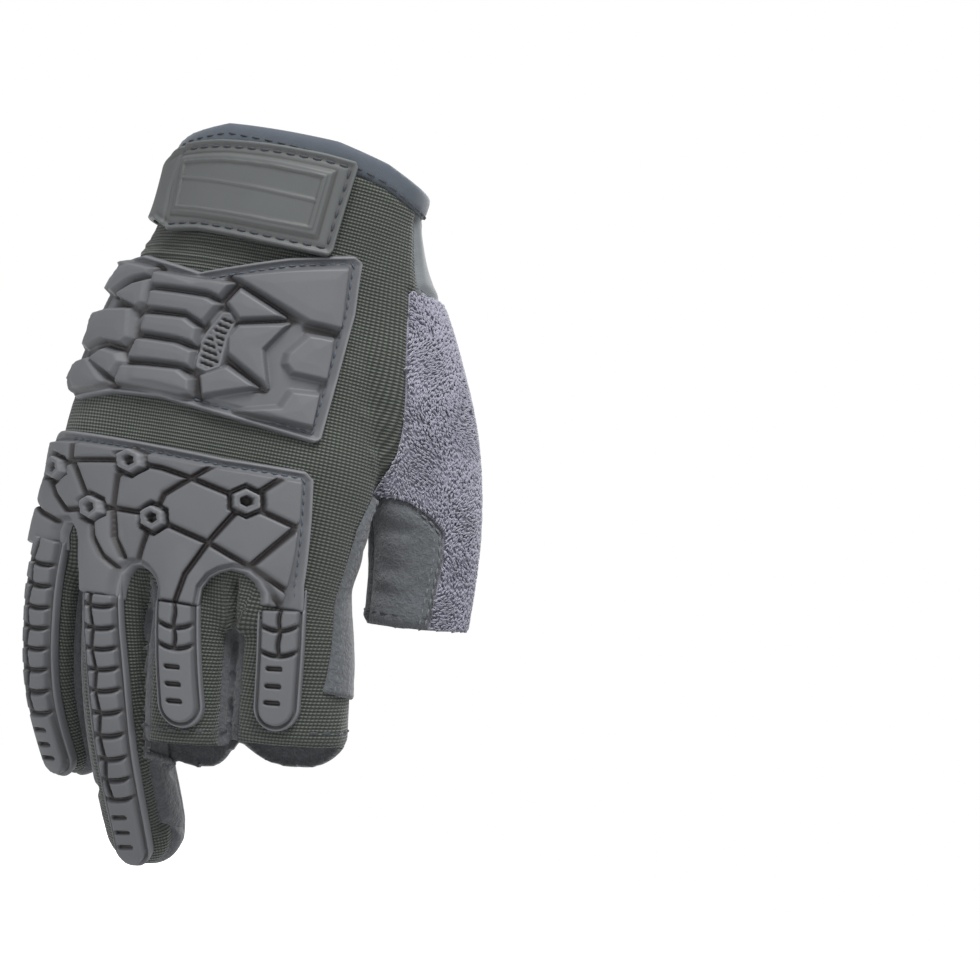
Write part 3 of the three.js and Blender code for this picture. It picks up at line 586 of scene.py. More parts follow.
@dataclass(frozen=True)
class Tube:
    """A cloth tube: rows of centre x, y, z, half width, depth to back and palm, turn and squareness."""

    rows: tuple
    arch: float = 0.0
    tip: float = 0.0
    hem: float = 0.0
    lead: float = 0.0
    open_end: bool = False

    def section(self, t: Array) -> Array:
        """Catmull-Rom through the rows, at t rows from the first."""
        rows = np.array(self.rows, float)
        i = np.clip(np.floor(t).astype(int), 0, len(rows) - 2)
        four = (rows[np.clip(i + k, 0, len(rows) - 1)] for k in (-1, 0, 1, 2))
        return catmull_rom(*four, (t - i)[:, None])

    def stations(self, t: Array) -> dict[str, Array]:
        """Sections with their directions along the tube, across it and towards the palm."""
        last = len(self.rows) - 1
        here = self.section(t)
        ahead, behind = self.section(np.minimum(t + 0.1, last)), self.section(np.maximum(t - 0.1, 0))
        along = unit(ahead[:, :3] - behind[:, :3])
        turn = np.radians(here[:, 6])
        level = np.stack([np.cos(turn), np.sin(turn), 0 * turn], 1)
        across = unit(level - along * (level * along).sum(1, keepdims=True))
        palmar = np.cross(along, across)
        palmar *= np.where(palmar[:, 1:2] < 0, -1, 1)
        names = ("half", "back", "palm", "turn", "square")
        return {"centre": here[:, :3], "along": along, "across": across, "palmar": palmar,
                **{name: here[:, 3 + k] for k, name in enumerate(names)}}

    def walk(self) -> tuple[Array, Array, dict[str, Array]]:
        """Row numbers, distances and stations at fine steps along the centre line."""
        t = np.linspace(0, len(self.rows) - 1, 260)
        stations = self.stations(t)
        return t, walked_along(stations["centre"]), stations

    def length(self) -> float:
        """Length of the centre line."""
        return float(self.walk()[1][-1])

    def at(self, distance: Array) -> dict[str, Array]:
        """Stations at distances along the centre line."""
        t, walked, _ = self.walk()
        return self.stations(np.interp(distance, walked, t))

    def ring(self, stations: dict[str, Array], angle: Array, lift: float = 0.0) -> tuple:
        """Across and palmward places on a superellipse, arched at its sides, at angles from +across."""
        c, s = np.cos(angle), np.sin(angle)
        power = 2 / stations["square"]
        across = np.sign(c) * np.abs(c) ** power
        depth = np.where(s < 0, stations["back"], stations["palm"]) + lift
        towards = depth * np.sign(s) * np.abs(s) ** power + self.arch * across ** 2
        return (stations["half"] + lift) * across, towards

    @staticmethod
    def placed(stations: dict[str, Array], u: Array, v: Array, w: Array) -> Array:
        """Points at u across, v towards the palm and w along, from their stations."""
        return (stations["centre"] + stations["across"] * u[:, None] + stations["palmar"] * v[:, None]
                + stations["along"] * w[:, None])

    def surface(self, distance: Array, angle: Array, lift: float = 0.0) -> Array:
        """Points on the tube at distances along it and angles round it; past its end it runs straight,
        or rounds off over its tip."""
        end = self.length()
        past = np.maximum(distance - end, 0)
        stations = self.at(np.minimum(distance, end))
        u, v = self.ring(stations, angle, lift)
        rise = np.clip(past / self.tip, 0, 1) if self.tip else 0 * past
        scale = np.sqrt(1 - rise ** 2)
        return self.placed(stations, u * scale, v * scale, past + lift * rise)

    def spare(self, palmward: Array) -> Array:
        """How far an open end's body runs on past its centre line, which its cut then takes off."""
        return 1.2 + self.hem * (0.5 + 0.5 * palmward)

    def beyond(self, lies: Array) -> Array:
        """Rough distance outside the tube's closed body, below zero inside, from places on it."""
        d, _, v, full = lies.T
        last = self.spare(np.clip(v / self.rows[-1][5], -1, 1)) if self.open_end else self.tip
        return np.maximum((full - 1) * 12, d - self.length() - last)

    def closed_body(self, sides: int, steps: int) -> tuple[Array, Array]:
        """The tube as a closed triangle mesh: rings, round or flat ends, and a fan at each end.

        Args:
            sides: points round a ring.
            steps: rings along the tube.

        Returns:
            Points and triangles.
        """
        end = self.length()
        angle = 2 * np.pi * (np.arange(sides) + 0.5) / sides
        dome = self.tip * np.sin(np.radians(np.linspace(8, 84, 9))) if self.tip else np.array([])
        distance = np.concatenate([np.linspace(0, end, steps), end + dome])
        d, a = grid_places(distance, angle)
        points = self.surface(d, a).reshape(-1, sides, 3)
        if self.open_end:
            points[-1] += self.at(np.array([end]))["along"] * self.spare(np.sin(angle))[:, None]
        if self.lead:
            first = self.at(np.array([0.0]))["along"]
            lifts = np.linspace(self.lead, 2, 6)[:, None, None]
            points = np.concatenate([points[0] - first * lifts, points])
        loop = np.arange(sides)
        ahead, middle = (loop + 1) % sides, 0 * loop + len(points) * sides
        last = (len(points) - 1) * sides
        faces = np.concatenate([ring_faces(len(points), sides), np.stack([middle, ahead, loop], 1),
                                np.stack([middle + 1, last + loop, last + ahead], 1)])
        middles = np.stack([points[0].mean(0), points[-1].mean(0)])
        return np.concatenate([points.reshape(-1, 3), middles]), faces

    def locate(self, points: Array) -> Array:
        """Where points lie on the tube, by the nearest place on its centre line.

        Args:
            points: places, one a row.

        Returns:
            Columns of distance along, u across, v towards the palm and fullness, 1 on the surface.
        """
        _, walked, stations = self.walk()
        centre = stations["centre"]
        blocks = np.array_split(points, max(1, len(points) // 4000))
        near = np.concatenate([((centre ** 2).sum(1) - 2 * block @ centre.T).argmin(1) for block in blocks])
        away = points - centre[near]
        w, u, v = ((away * stations[name][near]).sum(1) for name in ("along", "across", "palmar"))
        half, square = stations["half"][near], stations["square"][near]
        depth = np.where(v < 0, stations["back"][near], stations["palm"][near])
        arched = v - self.arch * np.minimum(1, (u / half) ** 2)
        full = (np.abs(u / half) ** square + np.abs(arched / depth) ** square) ** (1 / square)
        return np.stack([walked[near] + w, u, v, full], 1)


TUBES = {
    "hand": Tube((
        (0.5, 1, 4, 40, 21, 21, 0, 2.3), (-1, 1, -26, 39, 20, 20, 0, 2.3),
        (-2.5, 1, -45, 43, 19.5, 20, -1, 2.3), (-4.5, 1.5, -70, 48, 19, 20, -4, 2.4),
        (-6, 2, -95, 51, 18.5, 18.5, -8, 2.5), (-6.6, 3.5, -118, 51, 17.5, 16.5, -12, 2.6),
        (-5.8, 5, -134, 49, 15.5, 14.5, -15, 2.6), (-6, 6, -142, 45, 12, 11, -16, 2.6),
    ), arch=3, lead=12),
    "index": Tube((
        (27, 0, -112, 13.5, 13, 12, 4, 2.2), (28.3, 0, -130, 15.3, 13.5, 13, 4, 2.2),
        (31.6, 2, -150, 17, 13, 13, 4, 2.2), (34.6, 6, -173, 17.6, 12.5, 13, 4, 2.2),
    ), hem=9.5, open_end=True),
    "middle": Tube((
        (0, -1, -112, 12.5, 13, 12, 0, 2.2), (0, -1, -130, 13, 13.5, 13, 0, 2.2),
        (1.5, 1, -152, 13.5, 13, 13, 0, 2.2), (5, 5.5, -179, 13.5, 12.5, 13, 0, 2.2),
    ), hem=9.5, open_end=True),
    "ring": Tube((
        (-25, 3, -112, 12, 12.5, 12, -10, 2.2), (-25, 3.5, -130, 12.5, 13, 12.5, -10, 2.2),
        (-23, 7, -152, 12.5, 12.5, 12.5, -10, 2.2), (-17, 14, -180, 12.3, 12, 12, -9, 2.2),
        (-9, 28, -207, 12.2, 10.8, 11.3, -6.5, 2.2),
    ), tip=12),
    "pinky": Tube((
        (-44.5, 12, -108, 11.5, 12, 11, -28, 2.2), (-45.6, 14, -125, 11.5, 12, 11.5, -28, 2.2),
        (-46.2, 18, -145, 11.5, 11.5, 11.5, -27, 2.2), (-43.7, 25, -168, 11.2, 11, 11, -25, 2.2),
        (-37.7, 34.2, -187.5, 10.8, 9.8, 10, -23, 2.2),
    ), tip=9),
    "thumb": Tube((
        (18, 4, -14, 21, 17, 16, 10, 2.2), (24, 6, -32, 21.5, 17, 16, 22, 2.2),
        (37, 10, -53, 21.5, 17, 17, 35, 2.2), (50, 14.5, -77, 20, 16, 16.5, 45, 2.2),
        (58, 19, -102, 17.5, 14.5, 14.5, 50, 2.2), (61, 23, -131, 16, 13.5, 13.5, 50, 2.2),
    ), open_end=True),
}
FINGERS = ("index", "middle", "ring", "pinky")


@dataclass
class GloveSkin:
    """The whole cloth surface as one fine mesh, with each point's place on every tube."""

    voxel: float = 1.0
    smoothing: int = 7
    points: Array = field(init=False)
    normals: Array = field(init=False)
    faces: Array = field(init=False)
    lies: dict[str, Array] = field(init=False)
    beyond: dict[str, Array] = field(init=False)

    def __post_init__(self) -> None:
        """Joins the tubes' closed bodies by a voxel remesh and reads the result back as arrays."""
        bodies = [tube.closed_body(sides=72, steps=90) for tube in TUBES.values()]
        counts = np.cumsum([0] + [len(points) for points, _ in bodies])
        joined = Piece("tubes", np.concatenate([points for points, _ in bodies]),
                       np.concatenate([faces + start for (_, faces), start in zip(bodies, counts)])).build()
        remesh = joined.modifiers.new("join", "REMESH")
        remesh.mode, remesh.voxel_size = "VOXEL", self.voxel * MM
        smooth = joined.modifiers.new("smooth", "SMOOTH")
        smooth.factor, smooth.iterations = 0.5, self.smoothing
        evaluated = joined.evaluated_get(bpy.context.evaluated_depsgraph_get())
        mesh = evaluated.to_mesh()
        self.points = self.read(mesh.vertices, "co", 3) / MM
        self.normals = self.read(mesh.vertices, "normal", 3)
        mesh.calc_loop_triangles()
        self.faces = self.read(mesh.loop_triangles, "vertices", 3, np.int32).astype(np.int64)
        evaluated.to_mesh_clear()
        bpy.data.objects.remove(joined)
        self.lies = {name: tube.locate(self.points) for name, tube in TUBES.items()}
        self.beyond = {name: tube.beyond(self.lies[name]) for name, tube in TUBES.items()}
        LOG.info("skin: %d points, %d triangles", len(self.points), len(self.faces))

    @staticmethod
    def read(collection: bpy.types.bpy_prop_collection, name: str, width: int,
             kind: type = np.float32) -> Array:
        """One property of a mesh's elements as an array.

        Args:
            collection: the mesh's vertices or triangles.
            name: the property.
            width: numbers an element.
            kind: the type that the mesh holds.

        Returns:
            One row an element.
        """
        values = np.empty(len(collection) * width, kind)
        collection.foreach_get(name, values)
        return values.reshape(-1, width).astype(np.float64 if kind == np.float32 else kind)

    def next_finger(self, name: str, closed: bool = False) -> Array:
        """Distance outside the nearest finger other than the named one, or the nearest closed one."""
        return np.minimum.reduce([self.beyond[other] for other in FINGERS
                                  if other != name and not (closed and TUBES[other].open_end)])

    def fan(self) -> tuple[Array, Array]:
        """Degrees round the fan's axis, from -Y towards the thumb, and the distance from it."""
        x, y = (self.points[:, :2] - FAN).T
        return np.degrees(np.arctan2(x, -y)), np.hypot(x, y)


@dataclass
class HeightMap:
    """A surface's height over a flat grid, averaged from nearby points, filled and smoothed."""

    low: tuple[float, float]
    high: tuple[float, float]
    step: tuple[float, float]
    grid: Array = field(init=False)

    def fit(self, a: Array, b: Array, height: Array, passes: int = 3) -> "HeightMap":
        """Spreads each height over the four grid points round it, by closeness, then fills and smooths.

        Args:
            a: first coordinate of each point.
            b: second coordinate.
            height: its height.
            passes: rounds of smoothing.

        Returns:
            The map.
        """
        shape = [int((h - l) / s) + 2 for l, h, s in zip(self.low, self.high, self.step)]
        total, weight = np.zeros(shape), np.zeros(shape)
        i, j = (a - self.low[0]) / self.step[0], (b - self.low[1]) / self.step[1]
        inside = (i >= 0) & (j >= 0) & (i < shape[0] - 1) & (j < shape[1] - 1)
        i, j, height = i[inside], j[inside], height[inside]
        for m, n in np.ndindex(2, 2):
            row, column = np.floor(i).astype(int) + m, np.floor(j).astype(int) + n
            share = (1 - np.abs(i - row)) * (1 - np.abs(j - column))
            np.add.at(total, (row, column), share * height)
            np.add.at(weight, (row, column), share)
        for _ in range(80):
            empty = weight < 0.05
            if not empty.any():
                break
            total = np.where(empty, self.around(total), total)
            weight = np.where(empty, self.around(weight), weight)
        self.grid = total / np.maximum(weight, 1e-9)
        for _ in range(passes):
            self.grid = 0.5 * self.grid + 0.5 * self.around(self.grid)
        return self

    @staticmethod
    def around(values: Array) -> Array:
        """Mean of each cell's four neighbours."""
        wide = np.pad(values, 1, mode="edge")
        return (wide[2:, 1:-1] + wide[:-2, 1:-1] + wide[1:-1, 2:] + wide[1:-1, :-2]) / 4

    def at(self, a: Array, b: Array) -> Array:
        """Heights by a cubic through the four rows and columns round each place."""
        i = np.clip((a - self.low[0]) / self.step[0], 0, self.grid.shape[0] - 1.001)
        j = np.clip((b - self.low[1]) / self.step[1], 0, self.grid.shape[1] - 1.001)
        row, column = np.floor(i).astype(int), np.floor(j).astype(int)
        across, up = self.weights(i - row), self.weights(j - column)
        total = np.zeros(np.shape(i))
        for m, n in np.ndindex(4, 4):
            rows = np.clip(row + m - 1, 0, self.grid.shape[0] - 1)
            columns = np.clip(column + n - 1, 0, self.grid.shape[1] - 1)
            total += across[m] * up[n] * self.grid[rows, columns]
        return total

    @staticmethod
    def weights(f: Array) -> tuple[Array, ...]:
        """Catmull-Rom weights of four points at a share between the middle two."""
        return (-0.5 * f + f ** 2 - 0.5 * f ** 3, 1 - 2.5 * f ** 2 + 1.5 * f ** 3,
                0.5 * f + 2 * f ** 2 - 1.5 * f ** 3, -0.5 * f ** 2 + 0.5 * f ** 3)


# Where moulded pieces lie

class Place(Protocol):
    """A surface that a flat pattern is laid on."""

    def point(self, a: Array, b: Array, lift: Array | float) -> Array:
        """Points at flat places a and b, at a lift above the surface."""


class BackPlace:
    """Lays a flat pattern round the back of the hand: degrees round the fan's axis, and z."""

    def __init__(self, skin: GloveSkin) -> None:
        """Maps how far the outward-facing skin lies from the fan's axis."""
        degrees, reach = skin.fan()
        out = unit(np.column_stack([skin.points[:, :2] - FAN, 0 * reach]))
        facing = (skin.normals * out).sum(1) > 0.15
        facing &= ~((skin.lies["thumb"][:, 0] > 30) & (skin.lies["thumb"][:, 3] < 1.2) & (degrees > 62))
        self.map = HeightMap((-100, -170), (75, 8), (1.4, 1.0)).fit(
            degrees[facing], skin.points[facing, 2], reach[facing])

    def point(self, degrees: Array, z: Array, lift: Array | float) -> Array:
        """Points at a lift above the skin."""
        reach = self.map.at(degrees, z) + lift
        turn = np.radians(degrees)
        return np.stack([FAN[0] + reach * np.sin(turn), FAN[1] - reach * np.cos(turn), z], 1)


class PalmPlace:
    """Lays a flat pattern on the palm, seen from the palm side: x and z."""

    def __init__(self, skin: GloveSkin) -> None:
        """Maps the y of the skin that faces the palm side."""
        facing = skin.normals[:, 1] > 0.12
        self.map = HeightMap((-64, -150), (62, -20), (1.2, 1.2)).fit(
            skin.points[facing, 0], skin.points[facing, 2], skin.points[facing, 1])

    def point(self, x: Array, z: Array, lift: Array | float) -> Array:
        """Points lifted square to the mapped surface."""
        y = self.map.at(x, z)
        normal = unit(np.stack([self.map.at(x - 1, z) - self.map.at(x + 1, z), np.full(np.shape(x), 2.0),
                                self.map.at(x, z - 1) - self.map.at(x, z + 1)], 1))
        return np.stack([x, y, z], 1) + normal * np.reshape(lift, (-1, 1))


class WristPlace:
    """Lays a flat pattern round the wrist: degrees from the back, -90 on the little-finger side, and z."""

    def point(self, degrees: Array, z: Array, lift: Array | float) -> Array:
        """Points on the hand's own rings at a lift."""
        hand = TUBES["hand"]
        _, walked, stations = hand.walk()
        distance = np.interp(-z, -stations["centre"][:, 2], walked)
        angle = np.radians(degrees) - np.pi / 2
        found = hand.at(distance)
        u, v = hand.ring(found, angle, lift)
        above = np.minimum(z, hand.rows[0][2]) - z
        return hand.placed(found, u, v, above)


@dataclass
class FingerPlace:
    """Lays a flat pattern on the back of a finger: u across it and distance along it."""

    name: str
    course: tuple = (0, 1, 0, 0, 0)

    def point(self, u: Array, distance: Array, lift: Array | float) -> Array:
        """Points whose height on the finger's ring follows from how far across they are.

        The pattern's middle runs from one offset at the course's start to another at its end, with a bow
        between.
        """
        tube = TUBES[self.name]
        end = tube.length()
        start, stop, first, last, bow = self.course
        share = np.clip((distance - start) / (stop - start), 0, 1)
        u = u + first * (1 - share) + last * share + bow * 4 * share * (1 - share)
        past = np.maximum(distance - end, 0)
        found = tube.at(np.minimum(distance, end))
        rise = np.clip(past / tube.tip, 0, 0.95) if tube.tip else 0 * past
        scale = np.sqrt(1 - rise ** 2)
        share = np.minimum(1, np.abs(u) / ((found["half"] + lift) * scale))
        depth = (1 - share ** found["square"]) ** (1 / found["square"])
        v = -(found["back"] + lift) * scale * depth
        return tube.placed(found, u, v, past + lift * rise)


# Moulded relief

class Outline:
    """A closed outline of corners in millimetres."""

    def __init__(self, corners: Array) -> None:
        """Keeps the corners anticlockwise."""
        corners = np.array(corners, float)
        x, y = corners.T
        if (x * np.roll(y, -1) - np.roll(x, -1) * y).sum() < 0:
            corners = corners[::-1]
        self.corners = corners

    def depth(self, a: Array, b: Array) -> Array:
        """Distance inside the outline, below zero outside."""
        nearest = np.full(np.shape(a), 1e9)
        inside = np.zeros(np.shape(a), bool)
        for start, end in zip(self.corners, np.roll(self.corners, -1, 0)):
            nearest = np.minimum(nearest, piece_distance(a, b, start, end))
            (x, y), (dx, dy) = start, end - start
            if dy:
                inside ^= ((y > b) != (end[1] > b)) & (a < x + (b - y) * dx / dy)
        return np.where(inside, nearest, -nearest)

    def inset(self, distance: float) -> "Outline":
        """The outline moved inwards, each corner along the bisector of its two sides."""
        ahead = unit(np.roll(self.corners, -1, 0) - self.corners)
        behind = np.roll(ahead, 1, 0)
        left = np.stack([-ahead[:, 1], ahead[:, 0]], 1)
        left_before = np.stack([-behind[:, 1], behind[:, 0]], 1)
        bisector = unit(left + left_before)
        reach = distance / np.maximum((bisector * left).sum(1, keepdims=True), 0.45)
        return Outline(self.corners + bisector * reach)

    def rounded(self, radius: float) -> "RoundOutline":
        """The outline with round outer corners."""
        return RoundOutline(self.inset(radius), radius)

    def path(self) -> Array:
        """The corners, with the first again at the end."""
        return np.concatenate([self.corners, self.corners[:1]])

    def box(self) -> tuple[float, float, float, float]:
        """Lowest and highest a, then lowest and highest b, with a margin of one."""
        (a0, b0), (a1, b1) = self.corners.min(0) - 1, self.corners.max(0) + 1
        return a0, a1, b0, b1


@dataclass
class RoundOutline:
    """An outline grown by a radius all round."""

    core: Outline
    radius: float

    def depth(self, a: Array, b: Array) -> Array:
        """Distance inside the grown outline."""
        return self.core.depth(a, b) + self.radius


def line_distance(a: Array, b: Array, line: Array) -> Array:
    """Distance from places to an open line of straight pieces."""
    return np.minimum.reduce([piece_distance(a, b, start, end) for start, end in zip(line[:-1], line[1:])])


def moulded(name: str, place: Place, scale: Callable, box: tuple, pitch: float, shape: Callable,
            floor: float = 0.25, edge: float = 0.9) -> Piece:
    """A closed moulding: a height field over a grid, cut to its outline, with a rounded edge and a flat base.

    Args:
        name: the piece's name.
        place: where it lies, with a point method.
        scale: turns flat millimetres into the place's first coordinate.
        box: lowest and highest a, lowest and highest b, in millimetres.
        pitch: grid spacing.
        shape: gives the depth inside the outline, the lift and the tone, for grids a and b.
        floor: lift of the underside.
        edge: radius of the rounded edge.

    Returns:
        The piece, with its tone on its points.
    """
    first, second = (np.arange(low, high + pitch, pitch) for low, high in (box[:2], box[2:]))
    a, b = grid_places(first, second)
    keep, lift, tone = shape(a, b)
    data, faces = clip(np.stack([a, b, lift, keep, tone], 1), grid_faces(len(first), len(second)), keep)
    a, b, lift, keep, tone = data.T
    low = floor + EDGE_STEP
    lift = low + (lift - low) * quarter_round(keep / edge)
    points = np.concatenate([place.point(scale(a), b, lift), place.point(scale(a), b, floor)])
    n = len(a)
    i, j = border_edges(faces).T
    every = np.concatenate([faces, faces[:, ::-1] + n, halved(j, i, i + n, j + n)])
    # The underside and the lower part of the side walls take a darker tone: painted shade
    tone = np.concatenate([tone, np.full(n, UNDERSIDE_SHADE_TONE)])
    return Piece(name, points, facing_out(points, every), tone=tone)


# Stitching

@dataclass
class Thread:
    """Rows of short stitches as small six-sided beads, gathered into one piece."""

    name: str
    length: float = 2.9
    pitch: float = 4.1
    radius: float = 0.42
    beads: list = field(default_factory=list)

    def sew(self, path: Array, above: Array) -> None:
        """Adds stitches along a path: each is a bead along the path's direction, flat to the cloth.

        Args:
            path: points of the row, close together.
            above: the same points lifted, which gives the direction out of the cloth.
        """
        walked = walked_along(path)
        count = max(1, int(walked[-1] / self.pitch))
        middles = (np.arange(count) + 0.5) * walked[-1] / count
        along = unit(read_at(path, walked, middles + 0.3) - read_at(path, walked, middles - 0.3))
        side = unit(np.cross(unit(read_at(unit(above - path), walked, middles)), along))
        self.beads.append((read_at(path, walked, middles), along, side, np.cross(along, side)))

    def piece(self) -> Piece:
        """Every bead: five rings of six points, thinnest at the ends, where it dips into the cloth."""
        spots, along, side, out = (np.concatenate(part) for part in zip(*self.beads))
        place = np.array([-0.5, -0.42, 0, 0.42, 0.5])
        size = np.array([0.25, 0.8, 1.0, 0.8, 0.25])
        dip = np.array([-0.9, -0.25, 0.15, -0.25, -0.9])
        angle = np.arange(6) * np.pi / 3
        w = np.repeat(place * self.length, 6)
        s = (size[:, None] * np.cos(angle)).ravel() * self.radius
        o = ((size[:, None] * np.sin(angle)) * 0.75 + dip[:, None]).ravel() * self.radius
        points = (spots[:, None] + along[:, None] * w[:, None]
                  + side[:, None] * s[:, None] + out[:, None] * o[:, None])
        fan = np.arange(1, 5)
        caps = np.concatenate([np.stack([0 * fan, fan + 1, fan], 1),
                               np.stack([0 * fan, fan, fan + 1], 1) + 24])
        one = facing_out(points[0], np.concatenate([ring_faces(5, 6), caps]))
        return Piece(self.name, points.reshape(-1, 3), copied(one, len(points)))


def fine_path(corners: Array, step: float = 0.7) -> Array:
    """Points at even steps along straight pieces."""
    corners = np.array(corners, float)
    walked = walked_along(corners)
    return read_at(corners, walked, np.linspace(0, walked[-1], max(2, int(walked[-1] / step))))


def sew_on(thread: Thread, place: Place, scale: Callable, corners: Array, lift: float) -> None:
    """Sews a row on a place, with the row lifted half a millimetre as what lies above it."""
    a, b = fine_path(corners).T
    thread.sew(place.point(scale(a), b, lift), place.point(scale(a), b, lift + 0.5))


def sew_runs(thread: Thread, place: Place, scale: Callable, path: Array, lift: float) -> None:
    """Sews each unbroken run of a path of fine steps, apart from short ones.

    Args:
        thread: the stitching to add to.
        place: where the rows lie, with a point method.
        scale: turns flat millimetres into the place's first coordinate.
        path: the points, with a wide step where a run breaks off.
        lift: height above the cloth.
    """
    breaks = np.flatnonzero(np.linalg.norm(np.diff(path, axis=0), axis=1) > ROW_GAP) + 1
    for run in np.split(path, breaks):
        if len(run) > SHORT_ROW:
            sew_on(thread, place, scale, run, lift)


# Cloth panels

@dataclass
class ClothPanels:
    """The sewn cloth: the skin cut along its seams into one piece a panel."""

    skin: GloveSkin
    wall: float = 1.5
    seam_depth: float = 0.85
    seam_width: float = 1.5
    roll: float = 0.9
    roll_width: float = 2.6
    hand_reach: float = 44.0
    finger_reach: float = 13.0
    side_palmward: float = 5.0

    def fields(self) -> dict[str, Array]:
        """For each panel in the order of cutting, how far inside its space each skin point is.

        Returns:
            Values in millimetres by panel, above zero inside.
        """
        x, _, z = self.skin.points.T
        lies = self.skin.lies
        rim = along_table(RIM, x)
        thumb_d, thumb_u, thumb_v, thumb_full = lies["thumb"].T
        edge = along_table(TERRY_EDGE, thumb_d)
        terry = np.minimum.reduce([thumb_u - edge, 6 - thumb_v, -34 - z, thumb_d - 22])
        beyond = (x - 50) * 0.89 + (z + 90) * -0.46
        gusset = np.minimum.reduce([beyond, edge + 1 - thumb_u, 4 - thumb_v, thumb_d - 87,
                                    (1.25 - thumb_full) * 15])
        hand_d, hand_u, hand_v, _ = lies["hand"].T
        lower = (4.5 + 7 * ease((hand_d - 55) / 40)) * ease(hand_u / 40)
        back = np.minimum(-2.5 - 0.0625 * hand_u + lower - hand_v, 147 - hand_d)
        for name in FINGERS:
            d, u, v, _ = lies[name].T
            level = -4 + (ease((u - 4) / 8) * (6 + 4 * ease((d - 42) / 8)) if name == "index" else 0 * u)
            own = self.skin.next_finger(name) - self.skin.beyond[name] + 1
            back = np.maximum(back, np.minimum.reduce([level - v, 18.5 - np.abs(u), d - 14, own]))
        between = {}
        for first, second, left, right, bottom in SIDE_WALLS:
            a, b = lies[first], lies[second]
            on_first = self.skin.beyond[first] < self.skin.beyond[second]
            v = np.where(on_first, a[:, 2] + left, b[:, 2] + right)
            rest = self.side_palmward + np.where(on_first, left, right) - v
            across = np.where(on_first, a[:, 1], -b[:, 1])
            inside = [across, v, rest, -124 - z, z - bottom]
            between[f"fourchette_{first}_{second}"] = np.minimum.reduce(inside)
        return {
            "cuff_binding": z - (rim - BINDING_HEIGHT), "terry_panel": terry, "thumb_gusset": gusset,
            **between, "back_panel": back, "wrist_panel": z - along_table(WRIST_SEAM, x),
            "palm_panel": np.full(len(x), 9.0),
        }

    def ends(self) -> Array:
        """How far inside its open ends each skin point is: the wrist's rim and the three cut ends."""
        x, _, z = self.skin.points.T
        inside = along_table(RIM, x) - z
        for name, tube in TUBES.items():
            if tube.open_end:
                d, _, v, _ = self.skin.lies[name].T
                own, others = self.skin.beyond[name], self.skin.next_finger(name)
                hem = tube.length() + tube.hem * np.clip(v / tube.rows[-1][5], 0, 1) ** 2
                near = (d > tube.length() - 12) & (own < 1.5) & (own < others)
                web = 1.4 - self.skin.next_finger(name, closed=True)
                inside = np.minimum(inside, np.where(near, np.maximum(hem - d, web), 6.0))
        return inside

    def knit_uv(self) -> Array:
        """Cloth coordinates in centimetres: round the hand's fan and up, and round and along each finger.

        Returns:
            Two columns, which blend from the hand's to a finger's as it leaves the hand.
        """
        degrees, _ = self.skin.fan()
        z = self.skin.points[:, 2]
        across, up = self.hand_reach * np.radians(degrees), z.copy()
        for name in FINGERS:
            d, u, v, full = self.skin.lies[name].T
            tube = TUBES[name]
            found = tube.at(np.clip(d, 0, tube.length()))
            back = found["centre"] - found["palmar"] * found["back"][:, None]
            turn = np.arctan2(back[:, 0] - FAN[0], FAN[1] - back[:, 1])
            round_it = np.arctan2(u, -v)
            share = ease((d - 12) / 24) * (full < 1.25)
            across = across * (1 - share) + share * (self.hand_reach * turn + self.finger_reach * round_it)
            up = up * (1 - share) + share * (tube.rows[0][2] - d)
        return np.stack([across, up], 1) / 10

    def wrinkles(self) -> Array:
        """How far creases and give push each point out: strap folds, gathers and slow unevenness."""
        points, (degrees, _) = self.skin.points, self.skin.fan()
        z = points[:, 2]
        thumb_d, thumb_u, _, thumb_full = self.skin.lies["thumb"].T
        slow = soft_noise(points, 15, 3) * 0.45 + soft_noise(points, 6.5, 5) * 0.2
        long = soft_noise(points * [1, 1, 3.2], 11, 7)
        under_strap = ridge(z + 37.5, 5) * ease((12 - degrees) / 30)
        bunched = under_strap * (0.5 * np.sin(z * 2.1 + degrees * 0.03) + long * 0.6)
        web = ease((thumb_d - 30) / 20) * (thumb_full < 1.2) * ease((-4 - thumb_u) / 8)
        gathers = web * 0.7 * soft_noise(points * [1, 1, 2.4], 9, 11)
        index = self.skin.lies["index"]
        hem = ridge(index[:, 0] - 56, 6) * (index[:, 3] < 1.2) * soft_noise(points * [1.5, 1, 0.5], 4, 13)
        crease = 0 * z
        for first, second in zip(FINGERS[:-1], FINGERS[1:]):
            a, b = self.skin.lies[first], self.skin.lies[second]
            gap = np.exp(-((a[:, 3] - b[:, 3]) / 0.11) ** 2) * (self.skin.normals[:, 1] < 0.2)
            crease += gap * ease((-127 - z) / 6) * ease((z + 182) / 12) * (a[:, 3] < 1.5) * (b[:, 3] < 1.5)
        return slow + bunched + gathers + hem * 0.5 - 3.2 * crease

    def web_wall(self) -> Object:
        """The ring finger's side where it lies inside the middle finger's open end: a sheet on its tube."""
        tube, middle = TUBES["ring"], TUBES["middle"]
        rows, columns = 41, 51
        distance, angle = grid_places(np.linspace(63, 86, rows), np.linspace(-1.3, 1.2, columns))
        points, above = tube.surface(distance, angle, -0.4), tube.surface(distance, angle, 0.6)
        outside = middle.beyond(middle.locate(points))
        data, faces = clip(np.column_stack([points, above]), grid_faces(rows, columns), 0.5 - outside)
        points, above = data[:, :3], data[:, 3:]
        a, b, c = (points[faces[:, k]] for k in range(3))
        if (np.cross(b - a, c - a) * (above - points)[faces[:, 0]]).sum() < 0:
            faces = faces[:, ::-1]
        piece = Piece("web_wall_cloth", points, faces).build()
        thicken(piece, 1.2)
        return place_piece(piece, Look.SUEDE, "suede")

